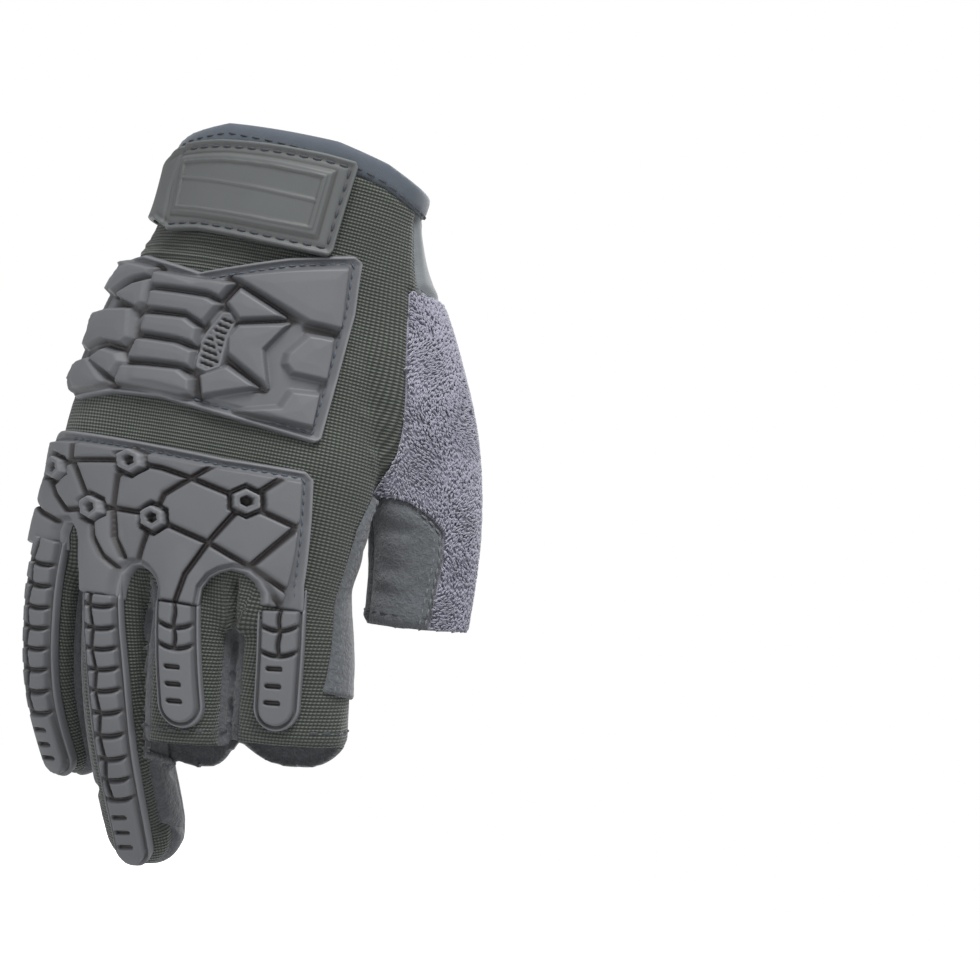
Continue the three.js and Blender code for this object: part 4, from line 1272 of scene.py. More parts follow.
    def build(self) -> dict[str, Object]:
        """Cuts, presses in the seams and makes one object a panel.

        Returns:
            The panels by CAD node, and the wall inside the middle finger's end as web_wall.
        """
        fields = self.fields()
        data = np.column_stack([self.skin.points, self.skin.normals, self.knit_uv(), self.wrinkles(),
                                *fields.values()])
        rest = clip(data, self.skin.faces, self.ends())
        panels = {}
        for column, name in enumerate(fields, data.shape[1] - len(fields)):
            points, faces = rest
            overlap = 1.2 if name == "cuff_binding" else 0
            panels[name] = clip(points, faces, points[:, column] + overlap)
            rest = clip(points, faces, -points[:, column])
        finishes = {"back_panel": (Look.KNIT, "knit"), "terry_panel": (Look.TOWEL_GROUND, "towelling"),
                    "cuff_binding": (Look.BINDING, "stretch"), "wrist_panel": (Look.SIDE, "stretch")}
        made = {}
        for name, (data, faces) in panels.items():
            edge = nearest_distance(data[:, :3], data[np.unique(border_edges(faces)), :3])
            press = self.seam_depth * ridge(edge, self.seam_width) - 0.2 * ridge(edge - 3, 1.6)
            lift = data[:, 8] * ease(edge / 5) - press
            if name == "cuff_binding":
                lift = self.roll * quarter_round(edge / self.roll_width) - 0.25
            points = data[:, :3] + unit(data[:, 3:6]) * lift[:, None]
            look, slot = finishes.get(name, (Look.SUEDE, "suede"))
            piece = Piece(f"{name}_cloth", points, faces, uv=data[:, 6:8]).build()
            thicken(piece, self.wall)
            made[name] = place_piece(piece, look, slot, name)
        made["web_wall"] = self.web_wall()
        return made


@dataclass
class Towelling:
    """Loops of pile over the towelling panel, each a small bent tube."""

    skin: GloveSkin
    share: float = 0.8
    height: float = 0.85
    thread: float = 0.32
    scatter: float = 0.55
    swirl: float = 1.8
    stray: float = 0.4
    seed: int = 21

    def build(self) -> Object:
        """Spreads loops over the panel's share of the skin's points, in wandering directions.

        A loop is half a ring of three-sided tube: its middle line goes out of the cloth and back.

        Returns:
            The pile as one object.
        """
        inside = ClothPanels(self.skin).fields()["terry_panel"]
        random = np.random.default_rng(self.seed)
        thumb_d = self.skin.lies["thumb"][:, 0]
        chosen = np.flatnonzero((inside > 0.35) & (thumb_d < TUBES["thumb"].length() - 1))
        chosen = random.choice(chosen, int(2 * self.share * len(chosen)))
        spots, out = self.skin.points[chosen], self.skin.normals[chosen]
        spots = spots + random.uniform(-self.scatter, self.scatter, spots.shape)
        spots -= out * ((spots - self.skin.points[chosen]) * out).sum(1, keepdims=True)
        swirl = soft_noise(spots, 14, 2) * self.swirl + random.uniform(-self.stray, self.stray, len(spots))
        down = unit(np.cross(out, np.array([0.3, 1.0, 0.2])))
        side = unit(np.cross(out, down))
        lean = down * np.cos(swirl)[:, None] + side * np.sin(swirl)[:, None]
        wide = np.cross(out, lean)
        size = random.uniform(0.8, 1.2, len(spots))[:, None, None]
        turn = np.linspace(0, np.pi, 4)
        middle = (lean[:, None] * np.cos(turn)[:, None] * 0.5
                  + out[:, None] * (np.sin(turn)[:, None] * self.height - 0.2)) * size + spots[:, None]
        outer = lean[:, None] * np.cos(turn)[:, None] + out[:, None] * np.sin(turn)[:, None]
        corner = np.arange(3) * 2 * np.pi / 3
        points = (middle[:, :, None] + (outer[:, :, None] * np.cos(corner)[:, None]
                  + wide[:, None, None] * np.sin(corner)[:, None]) * self.thread)
        ends = np.array([[0, 2, 1], [9, 10, 11]])
        one = facing_out(points[0].reshape(-1, 3), np.concatenate([ring_faces(4, 3), ends]))
        LOG.info("towelling: %d loops", len(points))
        piece = Piece("towelling_pile", points.reshape(-1, 3), copied(one, len(points))).build()
        return place_piece(piece, Look.TOWEL, "towelling")


# Guards on the back

@dataclass
class BackGuards:
    """The two moulded plates on the back of the hand, their bosses and their finger strips."""

    skin: GloveSkin
    thread: Thread
    pitch: float = 0.34
    flange: float = 1.9
    chamfer: float = 1.5
    rise: float = 2.65
    nut: float = 3.5
    hole: float = 1.6
    recess: float = 4.8
    outline: tuple = ((-57, -39), (-24, -42.5), (-3, -38.5), (22, -33.5), (49, -28.5), (53, -30), (54, -46),
                      (52, -67), (50, -85), (48, -86.5), (23, -85), (-5, -83.5), (-32, -82), (-55, -82.5),
                      (-73, -85.5), (-81, -80), (-80, -66), (-75, -52), (-75, -41))
    blocks: dict = field(default_factory=lambda: {
        "outer_top": ((-74, -40), (-47, -43), (-48, -46), (-57, -47.5), (-67, -52), (-76, -51)),
        "wedge_top": ((-55, -48), (-47, -46.5), (-46, -54.5), (-50, -56.5), (-65, -52.5)),
        "outer_middle": ((-78, -57), (-52, -56), (-49.5, -65.5), (-53, -68), (-63, -67), (-73, -69.5),
                         (-79, -69)),
        "wedge_middle": ((-62, -69), (-54, -70), (-51, -73), (-55, -78), (-69, -73)),
        "outer_low": ((-80, -73.5), (-68, -72), (-56, -80), (-62, -82), (-75, -83.5), (-81, -79.5)),
        "rib_one": ((-46, -44), (-2, -44.5), (-8, -50), (-15, -49), (-46, -49)),
        "rib_two": ((-45, -50), (-15, -50), (-7, -51.5), (-14, -58.5), (-24, -56), (-45, -56)),
        "rib_three": ((-45, -57.5), (-24, -57), (-15.5, -59.5), (-15.5, -65), (-25, -64), (-46, -63.5)),
        "rib_four": ((-47, -65), (-26, -65), (-15.5, -66.5), (-15.5, -72), (-23, -71.5), (-50, -72)),
        "rib_five": ((-52, -73.5), (-22, -72.5), (-14, -75), (-12, -80), (-19, -81), (-54, -80)),
        "sliver": ((-5, -51), (1, -45.5), (27, -52), (4, -55.5)),
        "star": ((4, -56.5), (29, -53), (20, -62.5), (26, -74), (1.5, -66), (-0.5, -61)),
        "low_sliver": ((-11, -73.5), (3, -69), (22, -74), (-7, -80)),
        "top_plate": ((-6, -42.5), (47, -32), (49, -52), (35, -52)),
        "side_plate": ((29, -62), (36, -55), (47, -54.5), (48, -68), (33, -68), (29, -65.5)),
        "low_plate": ((10, -82), (31, -78), (34, -72.5), (46, -71.5), (46, -82.5), (22, -82.5)),
    })
    vent: tuple = ((-14.8, -64), (-12.5, -60.5), (-6, -53.6), (-1.5, -53.2), (3.6, -55.6), (0.8, -60.5),
                   (0.3, -66), (0, -70.3), (-7.5, -72.5), (-14.5, -71.5))
    knuckle_outline: tuple = (
        (-84, -97), (-78, -95), (-40, -95.5), (13, -96), (47, -95), (50, -97), (52, -109), (54.5, -128),
        (57, -136), (59, -146), (46.5, -146), (45, -138), (43, -133),
        (39.5, -130), (35, -128.3), (29, -128), (24, -129.5), (20, -131.5), (17, -135), (17.5, -141),
        (20, -151), (-8, -151), (-12.2, -141.5), (-14, -138), (-18, -135), (-23, -133), (-29, -132),
        (-34.5, -132.5), (-38, -135.5), (-39.3, -139), (-40, -143), (-41, -153), (-63, -153), (-61, -143.5),
        (-61.5, -138), (-64.5, -132), (-67.5, -125.5), (-69.5, -123), (-72, -123.3), (-74, -126),
        (-75, -130), (-77.5, -140), (-90, -140), (-88, -117.5))
    lobe_ends: tuple = ((-90, -130.5), (-67, -131), (-66, -143), (-30, -142.5), (-29, -140.8), (30, -140.3),
                        (31, -136.2), (70, -135.7))
    grooves: tuple = (
        ((-82, -110), (-76, -107), (-66, -104), (-44, -102.2), (-21, -102.5), (-2, -104), (18, -106.2),
         (34, -109.5), (49, -112.5)),
        ((-69, -119), (-57, -117.5), (-46, -116.5), (-28, -116.5), (-8, -119), (14, -121.5), (35, -126),
         (52, -132)),
        ((-68, -98.5), (-68, -103.5), (-65, -107), (-58, -117)),
        ((-39, -103), (-45, -107), (-46, -116.5), (-43, -125), (-38, -130)),
        ((-32, -97.5), (-39, -102)),
        ((10, -98), (-2, -103.5), (-17, -110), (-22, -118), (-26, -125), (-29, -131)),
        ((38, -99), (27, -107.5), (14, -121.5), (5, -132), (2, -142)),
        ((49, -110), (46, -113), (35, -126), (32, -128.5)),
        ((-78, -110), (-75, -115), (-70, -119)),
        ((-57, -119), (-53, -126), (-47, -131), (-41, -133.5)),
        ((-86, -118), (-80, -121), (-74, -123)),
        ((35, -126), (44, -132), (50, -136)),
    )
    nuts: tuple = ((-76, -107), (-39, -102), (-57, -117.5), (-21.5, -117.5), (27, -107.5))
    stitched: tuple = ((-90, -95), (-40, -95.2), (13, -95.6), (47, -94.6), (50.5, -97), (52.5, -109),
                       (55, -145))

    def __post_init__(self) -> None:
        """Finds where the plates lie: how far the skin stands from the fan's axis."""
        self.place = BackPlace(self.skin)

    def arcs(self, low: float, high: float) -> tuple[Callable, Callable]:
        """Two functions, from degrees to millimetres round the back and back again, at a band of heights."""
        degrees = np.arange(-96.0, 70.0)
        heights = np.linspace(low, high, 5)
        reach = np.mean([self.place.map.at(degrees, np.full(len(degrees), z)) for z in heights], 0)
        span = np.cumsum(reach) * np.radians(1)
        span -= np.interp(0, degrees, span)
        return (lambda turn: np.interp(turn, degrees, span)), (lambda a: np.interp(a, span, degrees))

    @staticmethod
    def flat(corners: tuple, to_span: Callable) -> Array:
        """Corners in degrees and z as flat millimetres."""
        turn, z = np.array(corners, float).T
        return np.stack([to_span(turn), z], 1)

    def hand_guard(self) -> Object:
        """The plate below the wrist: bead, stitched channel, and chamfered blocks between narrow grooves."""
        to_span, to_turn = self.arcs(-80, -42)
        border = Outline(self.flat(self.outline, to_span))
        blocks = [RoundOutline(Outline(self.flat(corners, to_span)).inset(0.35), 0.75)
                  for corners in self.blocks.values()]
        vent = Outline(self.flat(self.vent, to_span))
        margin, middle = to_span(np.array([-42.0, -7.0]))

        def shape(a: Array, b: Array) -> Relief:
            """Depth, lift and tone of the plate."""
            depth = border.rounded(1.6).depth(a, b)
            bead, channel = ridge(depth - 0.8, 0.55), ridge(depth - 2.6, 0.9)
            lift = self.flange + 0.75 * bead - 0.45 * channel
            lift += 0.5 * ease((depth - 3.8) / 0.8) * ease((a - margin + 3) / 3)
            second, inside = np.sort([block.depth(a, b) for block in blocks], 0)[-2:]
            raised = np.clip(inside / self.chamfer, 0, 1) * self.rise
            raised += 0.1 * np.clip(inside - self.chamfer, 0, 3)
            narrow = ease((inside + second + 3.4) / 1.8) * ease((0.55 - inside) / 0.9)
            lift -= 0.6 * narrow
            ladder = vent.depth(a, b)
            column = a - middle + 0.45 * (b + 62)
            bars = ease(0.9 + 1.4 * np.sin((b + 0.2 * a + 0.7 * (column > 0)) * 2 * np.pi / 1.9))
            bars = np.maximum(bars, ease((0.7 - np.abs(column)) / 0.4))
            # Painted highlight on the bead; painted shade in the channel and the narrow grooves, which are
            # dusty too
            tone = 0.46 + 0.42 * bead - 0.12 * channel - 0.46 * narrow
            # Tops a little paler, chamfers darker, as painted light and shade; painted highlight on each top's
            # edge
            tone += ease(inside / 0.2) * (0.05 - 0.13 * ease((self.chamfer - inside) / 0.3))
            tone += 0.16 * ridge(inside - self.chamfer, 0.3)
            # Vent slots darker as painted shade between plain bars; painted highlight on its rim
            window = ease((ladder - 1.1) / 0.4)
            tone += window * (0.47 * bars - tone) + 0.3 * ridge(ladder - 0.7, 0.5)
            opening = 0.9 * ridge(ladder - 0.7, 0.6) + window * (1.1 * bars - 0.5)
            lift += np.where(ladder > 0, np.maximum(raised * (1 - ease(ladder / 0.6)), 0.4 + opening), raised)
            return depth, lift, tone

        piece = moulded("hand_guard_moulding", self.place, to_turn, border.box(), self.pitch, shape).build()
        row = border.inset(2.6).corners
        inner = to_span(np.array([-20.0]))[0]
        stitched = fine_path(Outline(row).path())
        stitched = stitched[stitched[:, 0] > inner]
        sew_runs(self.thread, self.place, to_turn, stitched, self.flange - 0.25)
        return place_piece(piece, Look.GUARD, "guard_rubber", "metacarpal_guard")

    def knuckle_plate(self) -> Object:
        """The knuckle plate: domed cells between tapering grooves, six-sided nuts and finger lobes."""
        to_span, to_turn = self.arcs(-140, -98)
        border = Outline(self.flat(self.knuckle_outline, to_span))
        grooves = [self.flat(line, to_span) for line in self.grooves]
        nuts, stitched = self.flat(self.nuts, to_span), self.flat(self.stitched, to_span)
        ends = self.flat(self.lobe_ends, to_span)

        def shape(a: Array, b: Array) -> Relief:
            """Depth, lift and tone of the plate."""
            depth = border.rounded(1.0).depth(a, b)
            sewn = line_distance(a, b, stitched)
            bead = ridge(depth - 0.75, 0.5)
            channel = ridge(sewn - 2.4, 0.8) * ease(depth / 2)
            nearest = np.min([line_distance(a, b, line) for line in grooves], 0)
            dome = ease((depth - 1.3) / 1.1) * ease((sewn - 3.2) / 1.2)
            cell = quarter_round((nearest - 0.4) / 1.4)
            lift = self.flange + 0.7 * bead * (1 - dome) - 0.5 * channel
            lift += dome * (0.25 + 2.0 * cell + 0.2 * ease(nearest / 6))
            # Painted highlight on the bead; painted shade in the channel and the grooves, which are dusty too
            tone = 0.5 + 0.4 * bead * (1 - dome) - 0.12 * channel - 0.5 * dome * ease((1.35 - nearest) / 0.9)
            for spot in nuts:
                x, y = a - spot[0], b - spot[1]
                sides = (0.2, 0.2 + np.pi / 3, 0.2 - np.pi / 3)
                across = np.max([np.abs(x * np.cos(t) + y * np.sin(t)) for t in sides], 0)
                boss = 1.8 + 3.3 * np.clip((self.nut - across) / 0.6, 0, 1)
                boss -= 3.1 * np.clip((self.hole - across) / 0.45, 0, 1)
                recess = ease((self.recess - across) / 0.6)
                lift += recess * (boss - lift)
                metal = ease((self.nut - across) / 0.4) * ease((across - 1.25) / 0.4)
                # Recess and hole darker as painted shade; a pale ring on each nut is a painted highlight
                tone += recess * (0.02 + metal * (0.5 + 0.35 * ridge(across - 2.75, 0.35)) - tone)
            return np.minimum(depth, b - np.interp(a, ends[:, 0], ends[:, 1])), lift, tone

        piece = moulded("knuckle_guard_moulding", self.place, to_turn, border.box(), self.pitch, shape).build()
        row = fine_path(border.inset(2.3).path())
        turn = to_turn(row[:, 0])
        edge = ((row[:, 1] > -99) & (turn > -72) | ((turn > 44) & (row[:, 1] > -133)))
        sew_runs(self.thread, self.place, to_turn, row[edge], self.flange - 0.25)
        return place_piece(piece, Look.GUARD, "guard_rubber", "knuckle_guard")

    def strips(self) -> list[Object]:
        """One ribbed strip a finger."""
        return [
            FingerStrip("index", start=17, end=57.5, lip=23, first=22, pitch=7, rows=2, slot=39.5,
                        slot_pitch=4.8, aside=(-1.4, -1.7, 0), halves=(7.4, 7.1)).build(),
            FingerStrip("middle", start=20, end=62.5, lip=26.8, first=28.3, pitch=5.7, rows=2, slot=44.7,
                        slot_pitch=4.9, aside=(-3.6, 1.4, 0), halves=(7.4, 7.1)).build(),
            FingerStrip("ring", start=21, end=109, lip=27.5, first=25.3, pitch=6.05, rows=10, slot=91.4,
                        slot_pitch=5.1, aside=(-1.6, 0.6, 2.2)).build(),
            FingerStrip("pinky", start=13, end=89.5, lip=18.5, first=20.5, pitch=6, rows=8, slot=73.4,
                        slot_pitch=4.7, aside=(0, 1, 0)).build(),
        ]


@dataclass
class FingerStrip:
    """A moulded strip down the back of a finger: rows of paired blocks, then a plate with three slots."""

    finger: str
    start: float
    end: float
    lip: float
    first: float
    pitch: float
    rows: int
    slot: float
    slot_pitch: float
    aside: tuple
    halves: tuple = (6.9, 6.07)
    flange: float = 1.8

    def shape(self, u: Array, s: Array) -> Relief:
        """Depth, lift and tone: a U-shaped border with a bead, a channel, and blocks cut by grooves.

        The strip begins low, under the plate's lobe, and its blocks start at the lobe's lip.

        Args:
            u: across the finger.
            s: along it.

        Returns:
            Depth inside the strip, lift above the finger and tone.
        """
        near, far = self.halves
        half = near + (far - near) * ease((s - self.start) / (self.end - self.start))
        round_end = s - (self.end - half)
        depth = half - np.where(round_end > 0, np.hypot(u, round_end), np.abs(u))
        bead, channel = ridge(depth - 0.6, 0.45), ridge(depth - 1.4, 0.35)
        long = self.rows > 4
        blocks = ease((s - self.lip) / 0.9)
        body = np.clip((depth - 1.5) / 0.8, 0, 1) * blocks
        row = (s + (0.03 if long else 0.05) * u ** 2 - self.first) / self.pitch
        to_row = np.abs(row - np.round(row)) * self.pitch
        to_row = np.where((row > 0.5) & (row < self.rows + 0.4), to_row, 9)
        split = (-2.9 + 2.2 * np.abs(((row * 0.5) % 1) - 0.5)) if long else 0.25 * np.sin(s * 0.9)
        to_split = np.where(row < self.rows, np.abs(u - split), 9)
        groove = np.minimum(to_row, to_split)
        cell = np.clip((groove - 0.25) / 0.8, 0, 1)
        flat = self.flange - 0.75 * (1 - blocks)
        lift = flat + 0.6 * bead - 0.5 * channel + body * (0.2 + 1.9 * cell)
        # Painted highlight on the bead; painted shade in the channel and the grooves, which are dusty too
        tone = 0.5 + 0.4 * bead - 0.35 * channel - 0.5 * body * ease((0.85 - groove) / 0.6)
        # Painted shadow on the strip's start, under the plate's lobe
        tone -= 0.45 * (1 - blocks) * (1 - bead)
        for k in range(3):
            away = np.hypot(np.maximum(np.abs(u + 0.9) - 1.8, 0), s - self.slot - k * self.slot_pitch)
            cut = np.clip((0.8 - away) / 0.3, 0, 1)
            lift -= 1.5 * cut * body
            # Slots darker as painted shade
            tone = tone * (1 - cut)
        return np.minimum(depth, s - self.start), lift, tone

    def build(self) -> Object:
        """The strip as one object."""
        half = self.halves[0] + 0.5
        box = (-half, half, self.start - 0.5, self.end + 0.5)
        place = FingerPlace(self.finger, (self.start + 5, self.end, *self.aside))
        piece = moulded(f"{self.finger}_strip", place, as_is, box, 0.33, self.shape, floor=0.2, edge=0.6)
        return place_piece(piece.build(), Look.GUARD, "guard_rubber")


# Strap

@dataclass
class WristStrap:
    """The strap round the wrist with its bare label plate and its pointed end on the palm."""

    thread: Thread
    span: float = 0.68
    lift: float = 1.8
    wall: float = 1.9
    outline: tuple = (
        (27.5, -0.4), (29, -2.2), (28.5, -27.8), (27, -29.8), (14, -30.6), (0, -31.2), (-25, -32), (-42, -34),
        (-45, -33), (-62, -30), (-80, -29.5), (-100, -29), (-122, -28), (-160, -25.5), (-185, -24),
        (-205, -22.5), (-224, -12.5),
        (-237, -4.5), (-235, -3), (-205, -1.5), (-185, -1), (-160, -1), (-146, -2.5), (-140, -6), (-122, -9.5),
        (-100, -13), (-80, -12), (-62, -9), (-45, -5), (-25, -2.8), (0, -1), (14, -0.4))
    plate: tuple = ((20, -5), (20, -25.8), (0, -27), (-43, -28.5), (-46, -9.5), (-20, -6.8), (0, -5.5))
    stitched: tuple = ((-44, 60), (-260, -176))
    tag: tuple = ((-168, -6.5), (-172, -17), (-204, -16.5), (-219, -7), (-212, -6))

    def flat(self, corners: tuple) -> Array:
        """Corners in degrees and z as flat millimetres."""
        return np.array(corners, float) * [self.span, 1]

    def turn(self, a: Array) -> Array:
        """Degrees at flat millimetres."""
        return a / self.span

    def shape(self, a: Array, b: Array) -> Relief:
        """Depth, lift and tone: bead and stitched channel, framed label plate, and framed tag near the point.

        Args:
            a: round the wrist.
            b: up it.

        Returns:
            Depth inside the strap, lift above the wrist and tone.
        """
        degrees = a / self.span
        depth = Outline(self.flat(self.outline)).rounded(1.2).depth(a, b)
        on_ends = np.maximum(ease((degrees + 62) / 8), ease((-140 - degrees) / 8))
        bead = 0.5 * ridge(depth - 0.8, 0.55) - 0.35 * ridge(depth - 2.3, 0.8)
        lift = self.lift + self.wall + on_ends * bead
        label = Outline(self.flat(self.plate)).depth(a, b)
        lift += 1.0 * np.clip(label / 1.1, 0, 1)
        frame_line = np.abs(label - 2.6)
        line = ridge(frame_line, 0.45) * (label > 1.2)
        divider = ridge(b + 15.6 - 0.03 * a, 0.45) * (label > 2.6)
        lift += 0.45 * np.maximum(line, divider) - 0.25 * ease((label - 2.7) / 0.3)
        facet = np.abs(degrees + 52 - 0.35 * np.abs(b + 19)) * self.span
        lift -= 0.8 * ridge(facet, 0.9)
        tag = Outline(self.flat(self.tag)).depth(a, b)
        lift += 0.3 * ridge(tag - 0.3, 0.35)
        for k in range(4):
            upright = np.abs(degrees + 146.5 + 4.4 * k) * self.span
            lift += 0.4 * ridge(upright, 0.45) * ease((b + 22) / 2) * ease((-7 - b) / 2)
        # Painted highlight on the bead and painted shade in the channel, on the strap's ends
        tone = 0.5 + on_ends * (0.4 * ridge(depth - 0.7, 0.5) - 0.2 * ridge(depth - 2.3, 0.8))
        # Painted highlights on the label's edge, raised lines and tag frame; painted shade at the plate's foot
        tone += 0.25 * ridge(label - 1.1, 0.4) - 0.35 * ridge(label + 0.2, 0.45)
        tone += 0.2 * np.maximum(line, divider) + 0.2 * ridge(tag - 0.3, 0.3)
        # Painted shade beside the frame line and the divider
        beside_divider = ridge(np.abs(b + 15.6 - 0.03 * a) - 0.65, 0.3)
        tone -= 0.25 * ridge(frame_line - 0.65, 0.3) * (label > 1.2) + 0.2 * beside_divider * (label > 2.6)
        return depth, lift, tone

    def build(self) -> Object:
        """The strap as one object, with its stitching."""
        border = Outline(self.flat(self.outline))
        piece = moulded("strap_moulding", WristPlace(), self.turn, border.box(), 0.44, self.shape,
                        floor=self.lift, edge=0.8)
        row = fine_path(border.inset(2.4).path())
        for low, high in self.stitched:
            part = row[(row[:, 0] > low * self.span) & (row[:, 0] < high * self.span)]
            sew_runs(self.thread, WristPlace(), self.turn, part, self.lift + self.wall - 0.15)
        return place_piece(piece.build(), Look.STRAP, "strap_rubber", "wrist_strap")


# Palm

@dataclass
class PalmPad:
    """A glossy pad of rounded cells in a stitched border."""

    node: str
    outline: tuple
    seed: int
    pitch: float = 7.4
    base: float = 1.5
    top: float = 2.7
    jitter: float = 0.27
    stitched: tuple = (2.9, 4.5)

    def build(self, place: PalmPlace, thread: Thread) -> Object:
        """Makes the pad: cells are the places nearer to one seed than another, by the gap between the two.

        Args:
            place: the palm's surface.
            thread: the stitching to add to.

        Returns:
            The pad as one object.
        """
        border = Outline(self.outline)
        low, high = border.corners.min(0), border.corners.max(0)
        rows, columns = np.meshgrid(np.arange(low[1], high[1], self.pitch * 0.87),
                                    np.arange(low[0], high[0], self.pitch), indexing="ij")
        shift = (np.arange(len(rows)) % 2)[:, None] * self.pitch / 2
        random = np.random.default_rng(self.seed)
        seeds = np.stack([(columns + shift).ravel(), rows.ravel()], 1)
        seeds += random.uniform(-self.jitter, self.jitter, seeds.shape) * self.pitch
        seeds = seeds[border.depth(*seeds.T) > 1]

        def shape(a: Array, b: Array) -> Relief:
            """Depth, lift and tone of the pad."""
            depth = border.rounded(5).depth(a, b)
            away = np.sort(np.hypot(a[:, None] - seeds[:, 0], b[:, None] - seeds[:, 1]), 1)
            gap = (away[:, 1] - away[:, 0]) / 2
            inside = np.minimum(gap - 0.35, (depth - 7.2) * 0.8)
            cell = quarter_round(inside / 1.5)
            ring = np.minimum(gap - 0.3, np.minimum(depth - 5.0, 8.4 - depth) * 0.9)
            outer = 0.45 * quarter_round(ring / 0.9)
            lift = self.base + 0.25 * ridge(depth - 1.0, 0.8) - 0.25 * ridge(depth - 4, 1.8)
            # Painted highlight near the pad's edge; painted shade in the grooves between cells
            tone = 0.5 + 0.2 * ridge(depth - 0.8, 0.6) - 0.3 * (depth > 5) * ease((0.9 - gap) / 0.8)
            return depth, lift + np.maximum((self.top - self.base) * cell * (depth > 7), outer), tone

        piece = moulded(f"{self.node}_moulding", place, as_is, border.box(), 0.36, shape, edge=1.0).build()
        for inset in self.stitched:
            sew_on(thread, place, as_is, border.inset(inset).path(), self.base - 0.15)
        return place_piece(piece, Look.PAD, "pad_rubber", self.node)


@dataclass
class KnucklePatch:
    """The wavy suede patch under the knuckles."""

    upper: tuple = ((-55, -99), (-51, -95.5), (-44, -97), (-34, -100), (-23, -102.5), (-14, -105), (-4, -107),
                    (7, -107), (17, -102), (24, -100), (32, -102.5), (37, -105.5), (39.5, -110))
    lower: tuple = ((39, -126), (37, -131), (32, -133), (24, -130.5), (17, -132.5), (7, -134.5), (-4, -132),
                    (-14, -132), (-23, -128.5), (-34, -122), (-44, -123.5), (-51, -121.5), (-55, -115))
    stitched: tuple = (2.6, 5.4)

    def build(self, place: PalmPlace, thread: Thread) -> Object:
        """A thin sheet with a rounded edge and two pressed rows for its stitches."""
        border = Outline(self.smooth(self.upper + self.lower))

        def shape(a: Array, b: Array) -> Relief:
            """Depth, lift and tone of the patch."""
            depth = border.depth(a, b)
            rough = soft_noise(np.stack([a, b, 0 * a], 1), 7, 4) * 0.18
            pressed = sum(0.35 * ridge(depth - inset, 0.7) for inset in self.stitched)
            return depth, 1.55 + 0.35 * ease((depth - 6) / 6) + rough * ease(depth / 4) - pressed, 0.5 + 0 * a

        piece = moulded("knuckle_patch_suede", place, as_is, border.box(), 0.55, shape, edge=1.2)
        for inset in self.stitched:
            sew_on(thread, place, as_is, border.inset(inset).path(), 1.35)
        return place_piece(piece.build(), Look.SUEDE, "suede", "knuckle_patch")

    @staticmethod
    def smooth(corners: tuple) -> Array:
        """A closed Catmull-Rom curve through the corners, six points a stretch."""
        p = np.array(corners, float)
        four = (np.roll(p, -k, 0)[:, None] for k in (-1, 0, 1, 2))
        return catmull_rom(*four, (np.arange(6) / 6)[None, :, None]).reshape(-1, 2)


@dataclass
class SideTrim:
    """The scalloped suede strip beside the index finger, and the tab beside the wrist's slit."""

    skin: GloveSkin
    back: tuple = ((97, -2), (103, -5), (108, -6.8), (120, -7.3), (131, -7.3), (145, -7), (157, -6.5))

    def index_strip(self, thread: Thread) -> Object:
        """A strip on the finger's radial side whose palm edge runs in scallops.

        Args:
            thread: the stitching to add to.

        Returns:
            The strip as one object.
        """
        normals, points = self.skin.normals, self.skin.points
        lies = self.skin.lies
        chosen = (normals[:, 0] > 0.25) & (lies["thumb"][:, 3] > 1.15) & (points[:, 0] > 20)
        beside = SidePlace(HeightMap((-12, -176), (18, -84), (1.0, 1.2)).fit(
            points[chosen, 1], points[chosen, 2], points[chosen, 0]))

        def shape(y: Array, z: Array) -> Relief:
            """Depth, lift and tone of the strip."""
            front = -1.5 + 6 * ease((-108 - z) / 34) + 1.3 * np.abs(np.sin((z + 104) * np.pi / 9.5))
            depth = np.minimum.reduce([y - along_table(self.back, -z), front - y, -97 - z, z + 157])
            return depth, 1.1 + 0.5 * ease(depth / 1.2), 0.5 + 0 * y

        piece = moulded("index_side_suede", beside, as_is, (-9, 8, -158, -96), 0.4, shape, edge=0.6)
        for inset in (1.5, 2.9):
            row = np.array([(y + inset, -place) for place, y in self.back])
            sew_on(thread, beside, as_is, row, 1.5)
        return place_piece(piece.build(), Look.SUEDE, "suede", "index_side_strip")

    def slit_tab(self) -> Object:
        """The small stretch panel beside the wrist's slit: part of the skin, lifted."""
        x, y, z = self.skin.points.T
        low, high, radius = -46, -31, 3
        line = np.interp(z, [low, high], [-42, -36])
        corner = radius - np.hypot(np.maximum(radius - (line - x), 0), np.maximum(radius - (z - low), 0))
        inside = np.minimum.reduce([line - x, z - low, high - z, y - 8, corner])
        data, faces = clip(np.column_stack([self.skin.points, self.skin.normals]), self.skin.faces, inside)
        points = data[:, :3] + unit(data[:, 3:]) * 1.9
        piece = Piece("slit_gusset_cloth", points, faces).build()
        thicken(piece, 1.4)
        return place_piece(piece, Look.BINDING, "stretch", "slit_gusset")


@dataclass
class SidePlace:
    """Lays a flat pattern on the index finger's radial side: y and z."""

    map: HeightMap

    def point(self, y: Array, z: Array, lift: Array | float) -> Array:
        """Points lifted towards the thumb."""
        return np.stack([self.map.at(y, z) + lift, y, z], 1)


# Seam stitching on the cloth itself

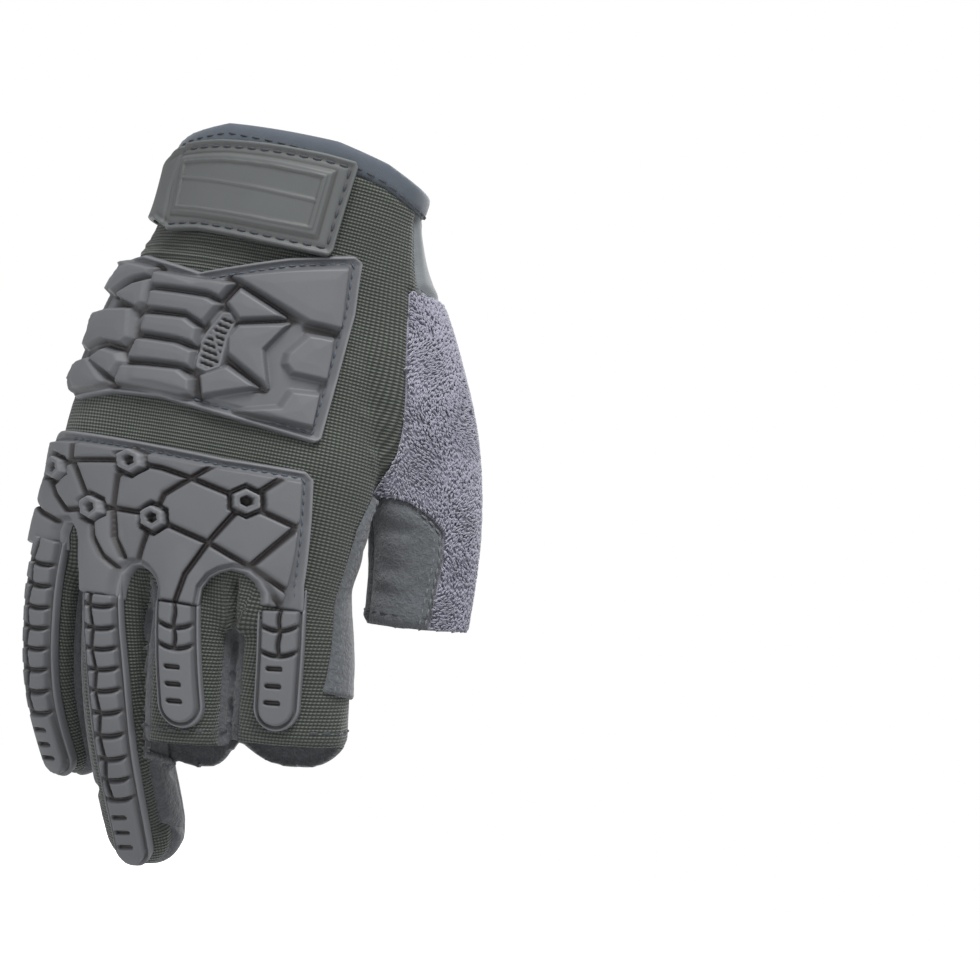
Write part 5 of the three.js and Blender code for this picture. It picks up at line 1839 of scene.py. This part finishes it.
@dataclass
class ClothStitches:
    """Rows of stitches along the hems and seams of the cloth."""

    dark: Thread
    pale: Thread

    def hem(self, name: str, inset: float) -> None:
        """A dark row round an open end.

        Args:
            name: the tube.
            inset: how far the row lies from the end.
        """
        tube = TUBES[name]
        angle = np.linspace(0, 2 * np.pi, 160)
        d = tube.length() + tube.hem * np.maximum(0, np.sin(angle)) ** 2 * (1 - inset / 20) - inset
        self.dark.sew(tube.surface(d, angle), tube.surface(d, angle, 1))

    def along_thumb(self, u: Callable, low: float, high: float, back: bool = True) -> None:
        """A pale row along the thumb.

        Args:
            u: gives the place across the thumb at distances along it.
            low: distance where the row starts.
            high: distance where it ends.
            back: whether it lies on the thumb's back or on its palm side.
        """
        tube = TUBES["thumb"]
        d = np.linspace(low, high, 140)
        stations = tube.at(d)
        share = np.clip(u(d) / stations["half"], -0.999, 0.999)
        angle = np.arccos(np.sign(share) * np.abs(share) ** (stations["square"] / 2)) * (-1 if back else 1)
        self.pale.sew(tube.surface(d, angle, 0.1), tube.surface(d, angle, 1.1))

    def build(self) -> None:
        """Adds every row."""
        turns = np.linspace(0, 360, 260)
        wrist = WristPlace()
        x = wrist.point(turns, 0 * turns - 5, 0.9)[:, 0]
        z = along_table(RIM, x) - 4.2
        self.dark.sew(wrist.point(turns, z, 0.6), wrist.point(turns, z, 1.6))
        for name, inset in (("index", 4.5), ("middle", 4.5), ("thumb", 4.0)):
            self.hem(name, inset)
        length = TUBES["thumb"].length()
        for shift in (1.6, 3.4):
            self.along_thumb(lambda d: along_table(TERRY_EDGE, d) - shift, 93, length - 1)
            self.along_thumb(lambda d: 0 * d - 5 + shift, 82, length - 1, back=False)


# Stage

@dataclass
class Studio:
    """A pale floor, soft light and the camera of the photograph."""

    eye: tuple = (247.1, -853.8, -188.4)
    azimuth: float = 16.0
    elevation: float = -5.0
    roll: float = 13.0
    lens: float = 108.5
    sensor: float = 36.0
    aim: tuple = (262, 25)
    frame_pixels: int = 980
    floor_z: float = -236.0
    dome_radius: float = 9000.0

    def camera(self) -> None:
        """Turns the camera from the glove's middle to the frame's middle, which the aim gives in pixels."""
        a, e, r = (radians(value) for value in (self.azimuth, self.elevation, self.roll))
        back = Vector((sin(a) * cos(e), -cos(a) * cos(e), sin(e)))
        right = Vector((cos(a), sin(a), 0))
        up = back.cross(right)
        right, up = right * cos(r) + up * sin(r), up * cos(r) - right * sin(r)
        focal = self.lens / self.sensor * self.frame_pixels
        view = (-back + right * (self.aim[0] / focal) + up * (self.aim[1] / focal)).normalized()
        right = (right - view * right.dot(view)).normalized()
        up = right.cross(view)
        data = bpy.data.cameras.new("photo_view")
        data.lens, data.sensor_width, data.clip_end = self.lens, self.sensor, 50
        made = add_object("photo_view", data)
        turn = Matrix((right, up, -view)).transposed().to_4x4()
        made.matrix_world = Matrix.Translation(Vector(self.eye) * MM) @ turn
        bpy.context.scene.camera = made

    def floor(self) -> None:
        """A wide pale floor below the fingers."""
        mesh = bpy.data.meshes.new("floor")
        wide = 12.0
        corners = [(-wide, -wide), (wide, -wide), (wide, wide), (-wide, wide)]
        mesh.from_pydata([(x, y, self.floor_z * MM) for x, y in corners], [], [(0, 1, 2, 3)])
        made = add_object("floor", mesh)
        mesh.materials.append(Paint("floor_paint").finish(
            Base_Color=(0.9, 0.9, 0.9, 1), Roughness=0.9, Specular_IOR_Level=0.0,
            Emission_Color=(1, 1, 1, 1), Emission_Strength=0.62))
        made.visible_diffuse = False

    def lights(self) -> None:
        """Soft key, fill and rim lights, and a pale surround."""
        world = bpy.data.worlds.new("surround")
        world.use_nodes = True
        inputs = world.node_tree.nodes["Background"].inputs
        inputs["Color"].default_value = (0.93, 0.94, 0.96, 1)
        inputs["Strength"].default_value = 0.5
        bpy.context.scene.world = world
        bpy.context.scene.view_settings.view_transform = "Standard"
        lamps = (("key", (0.2, -0.7, 0.95), 0.55, 18.5), ("fill", (-0.9, -0.8, -0.1), 0.9, 2.2),
                 ("palm", (0.3, 1.1, 0.5), 1.0, 14))
        for name, place, size, power in lamps:
            data = bpy.data.lights.new(name, "AREA")
            data.energy, data.size = power, size
            made = add_object(name, data)
            made.location = place
            made.rotation_euler = (Vector((0, 0, -0.1)) - Vector(place)).to_track_quat("-Z", "Y").to_euler()

    def backdrop(self) -> None:
        """A plain white dome, seen by the camera alone, so that it throws no light of its own."""
        turns, rises = 65, 33
        turn, rise = grid_places(np.linspace(0, 2 * np.pi, turns), np.radians(np.linspace(-90, 90, rises)))
        level = np.cos(rise)
        points = self.dome_radius * np.stack([np.cos(turn) * level, np.sin(turn) * level, np.sin(rise)], 1)
        made = Piece("backdrop", points, grid_faces(turns, rises)).build()
        for kind in ("diffuse", "glossy", "transmission", "volume_scatter", "shadow"):
            setattr(made, f"visible_{kind}", False)
        paint = Paint("backdrop_white")
        made.data.materials.append(paint.finish(Base_Color=(0, 0, 0, 1), Specular_IOR_Level=0.0,
                                                Emission_Color=(1, 1, 1, 1), Emission_Strength=1.0))

    def build(self) -> None:
        """Sets the whole stage."""
        self.camera()
        self.floor()
        self.backdrop()
        self.lights()


def main() -> None:
    """Builds the stage and the glove, piece by piece."""
    logging.basicConfig(level=logging.INFO, format="%(message)s")
    Studio().build()
    skin = GloveSkin()
    dark, pale = Thread("dark_stitches"), Thread("pale_stitches", length=2.2, pitch=3.0, radius=0.36)
    ClothPanels(skin).build()
    Towelling(skin).build()
    bluish = Thread("guard_stitches", length=2.2, pitch=3.0, radius=0.32)
    guards = BackGuards(skin, bluish)
    guards.hand_guard()
    guards.knuckle_plate()
    guards.strips()
    WristStrap(dark).build()
    palm = PalmPlace(skin)
    PalmPad("palm_pad_ulnar", (
        (-51, -74), (-46, -59), (-40.5, -47), (-33, -37.5), (-26, -35), (-12, -35), (-6.5, -38), (-6.5, -80),
        (-12, -87), (-20, -91.5), (-33, -92), (-41, -89), (-47, -87), (-51, -83)), seed=5).build(palm, pale)
    PalmPad("palm_pad_radial", (
        (-3, -59), (1, -47), (6, -37), (14, -34.5), (22, -35), (28, -39), (34, -47), (38, -65), (41, -79),
        (41, -86), (38, -90), (27, -92), (14, -90.5), (6, -89.5), (1, -87), (-3, -80)),
        seed=9).build(palm, pale)
    KnucklePatch().build(palm, pale)
    trim = SideTrim(skin)
    trim.index_strip(pale)
    trim.slit_tab()
    ClothStitches(dark, pale).build()
    place_piece(dark.piece().build(), Look.THREAD, "stretch")
    place_piece(bluish.piece().build(), Look.GUARD_THREAD, "guard_rubber")
    place_piece(pale.piece().build(), Look.PALE_THREAD, "suede")


if __name__ == "__main__":
    main()
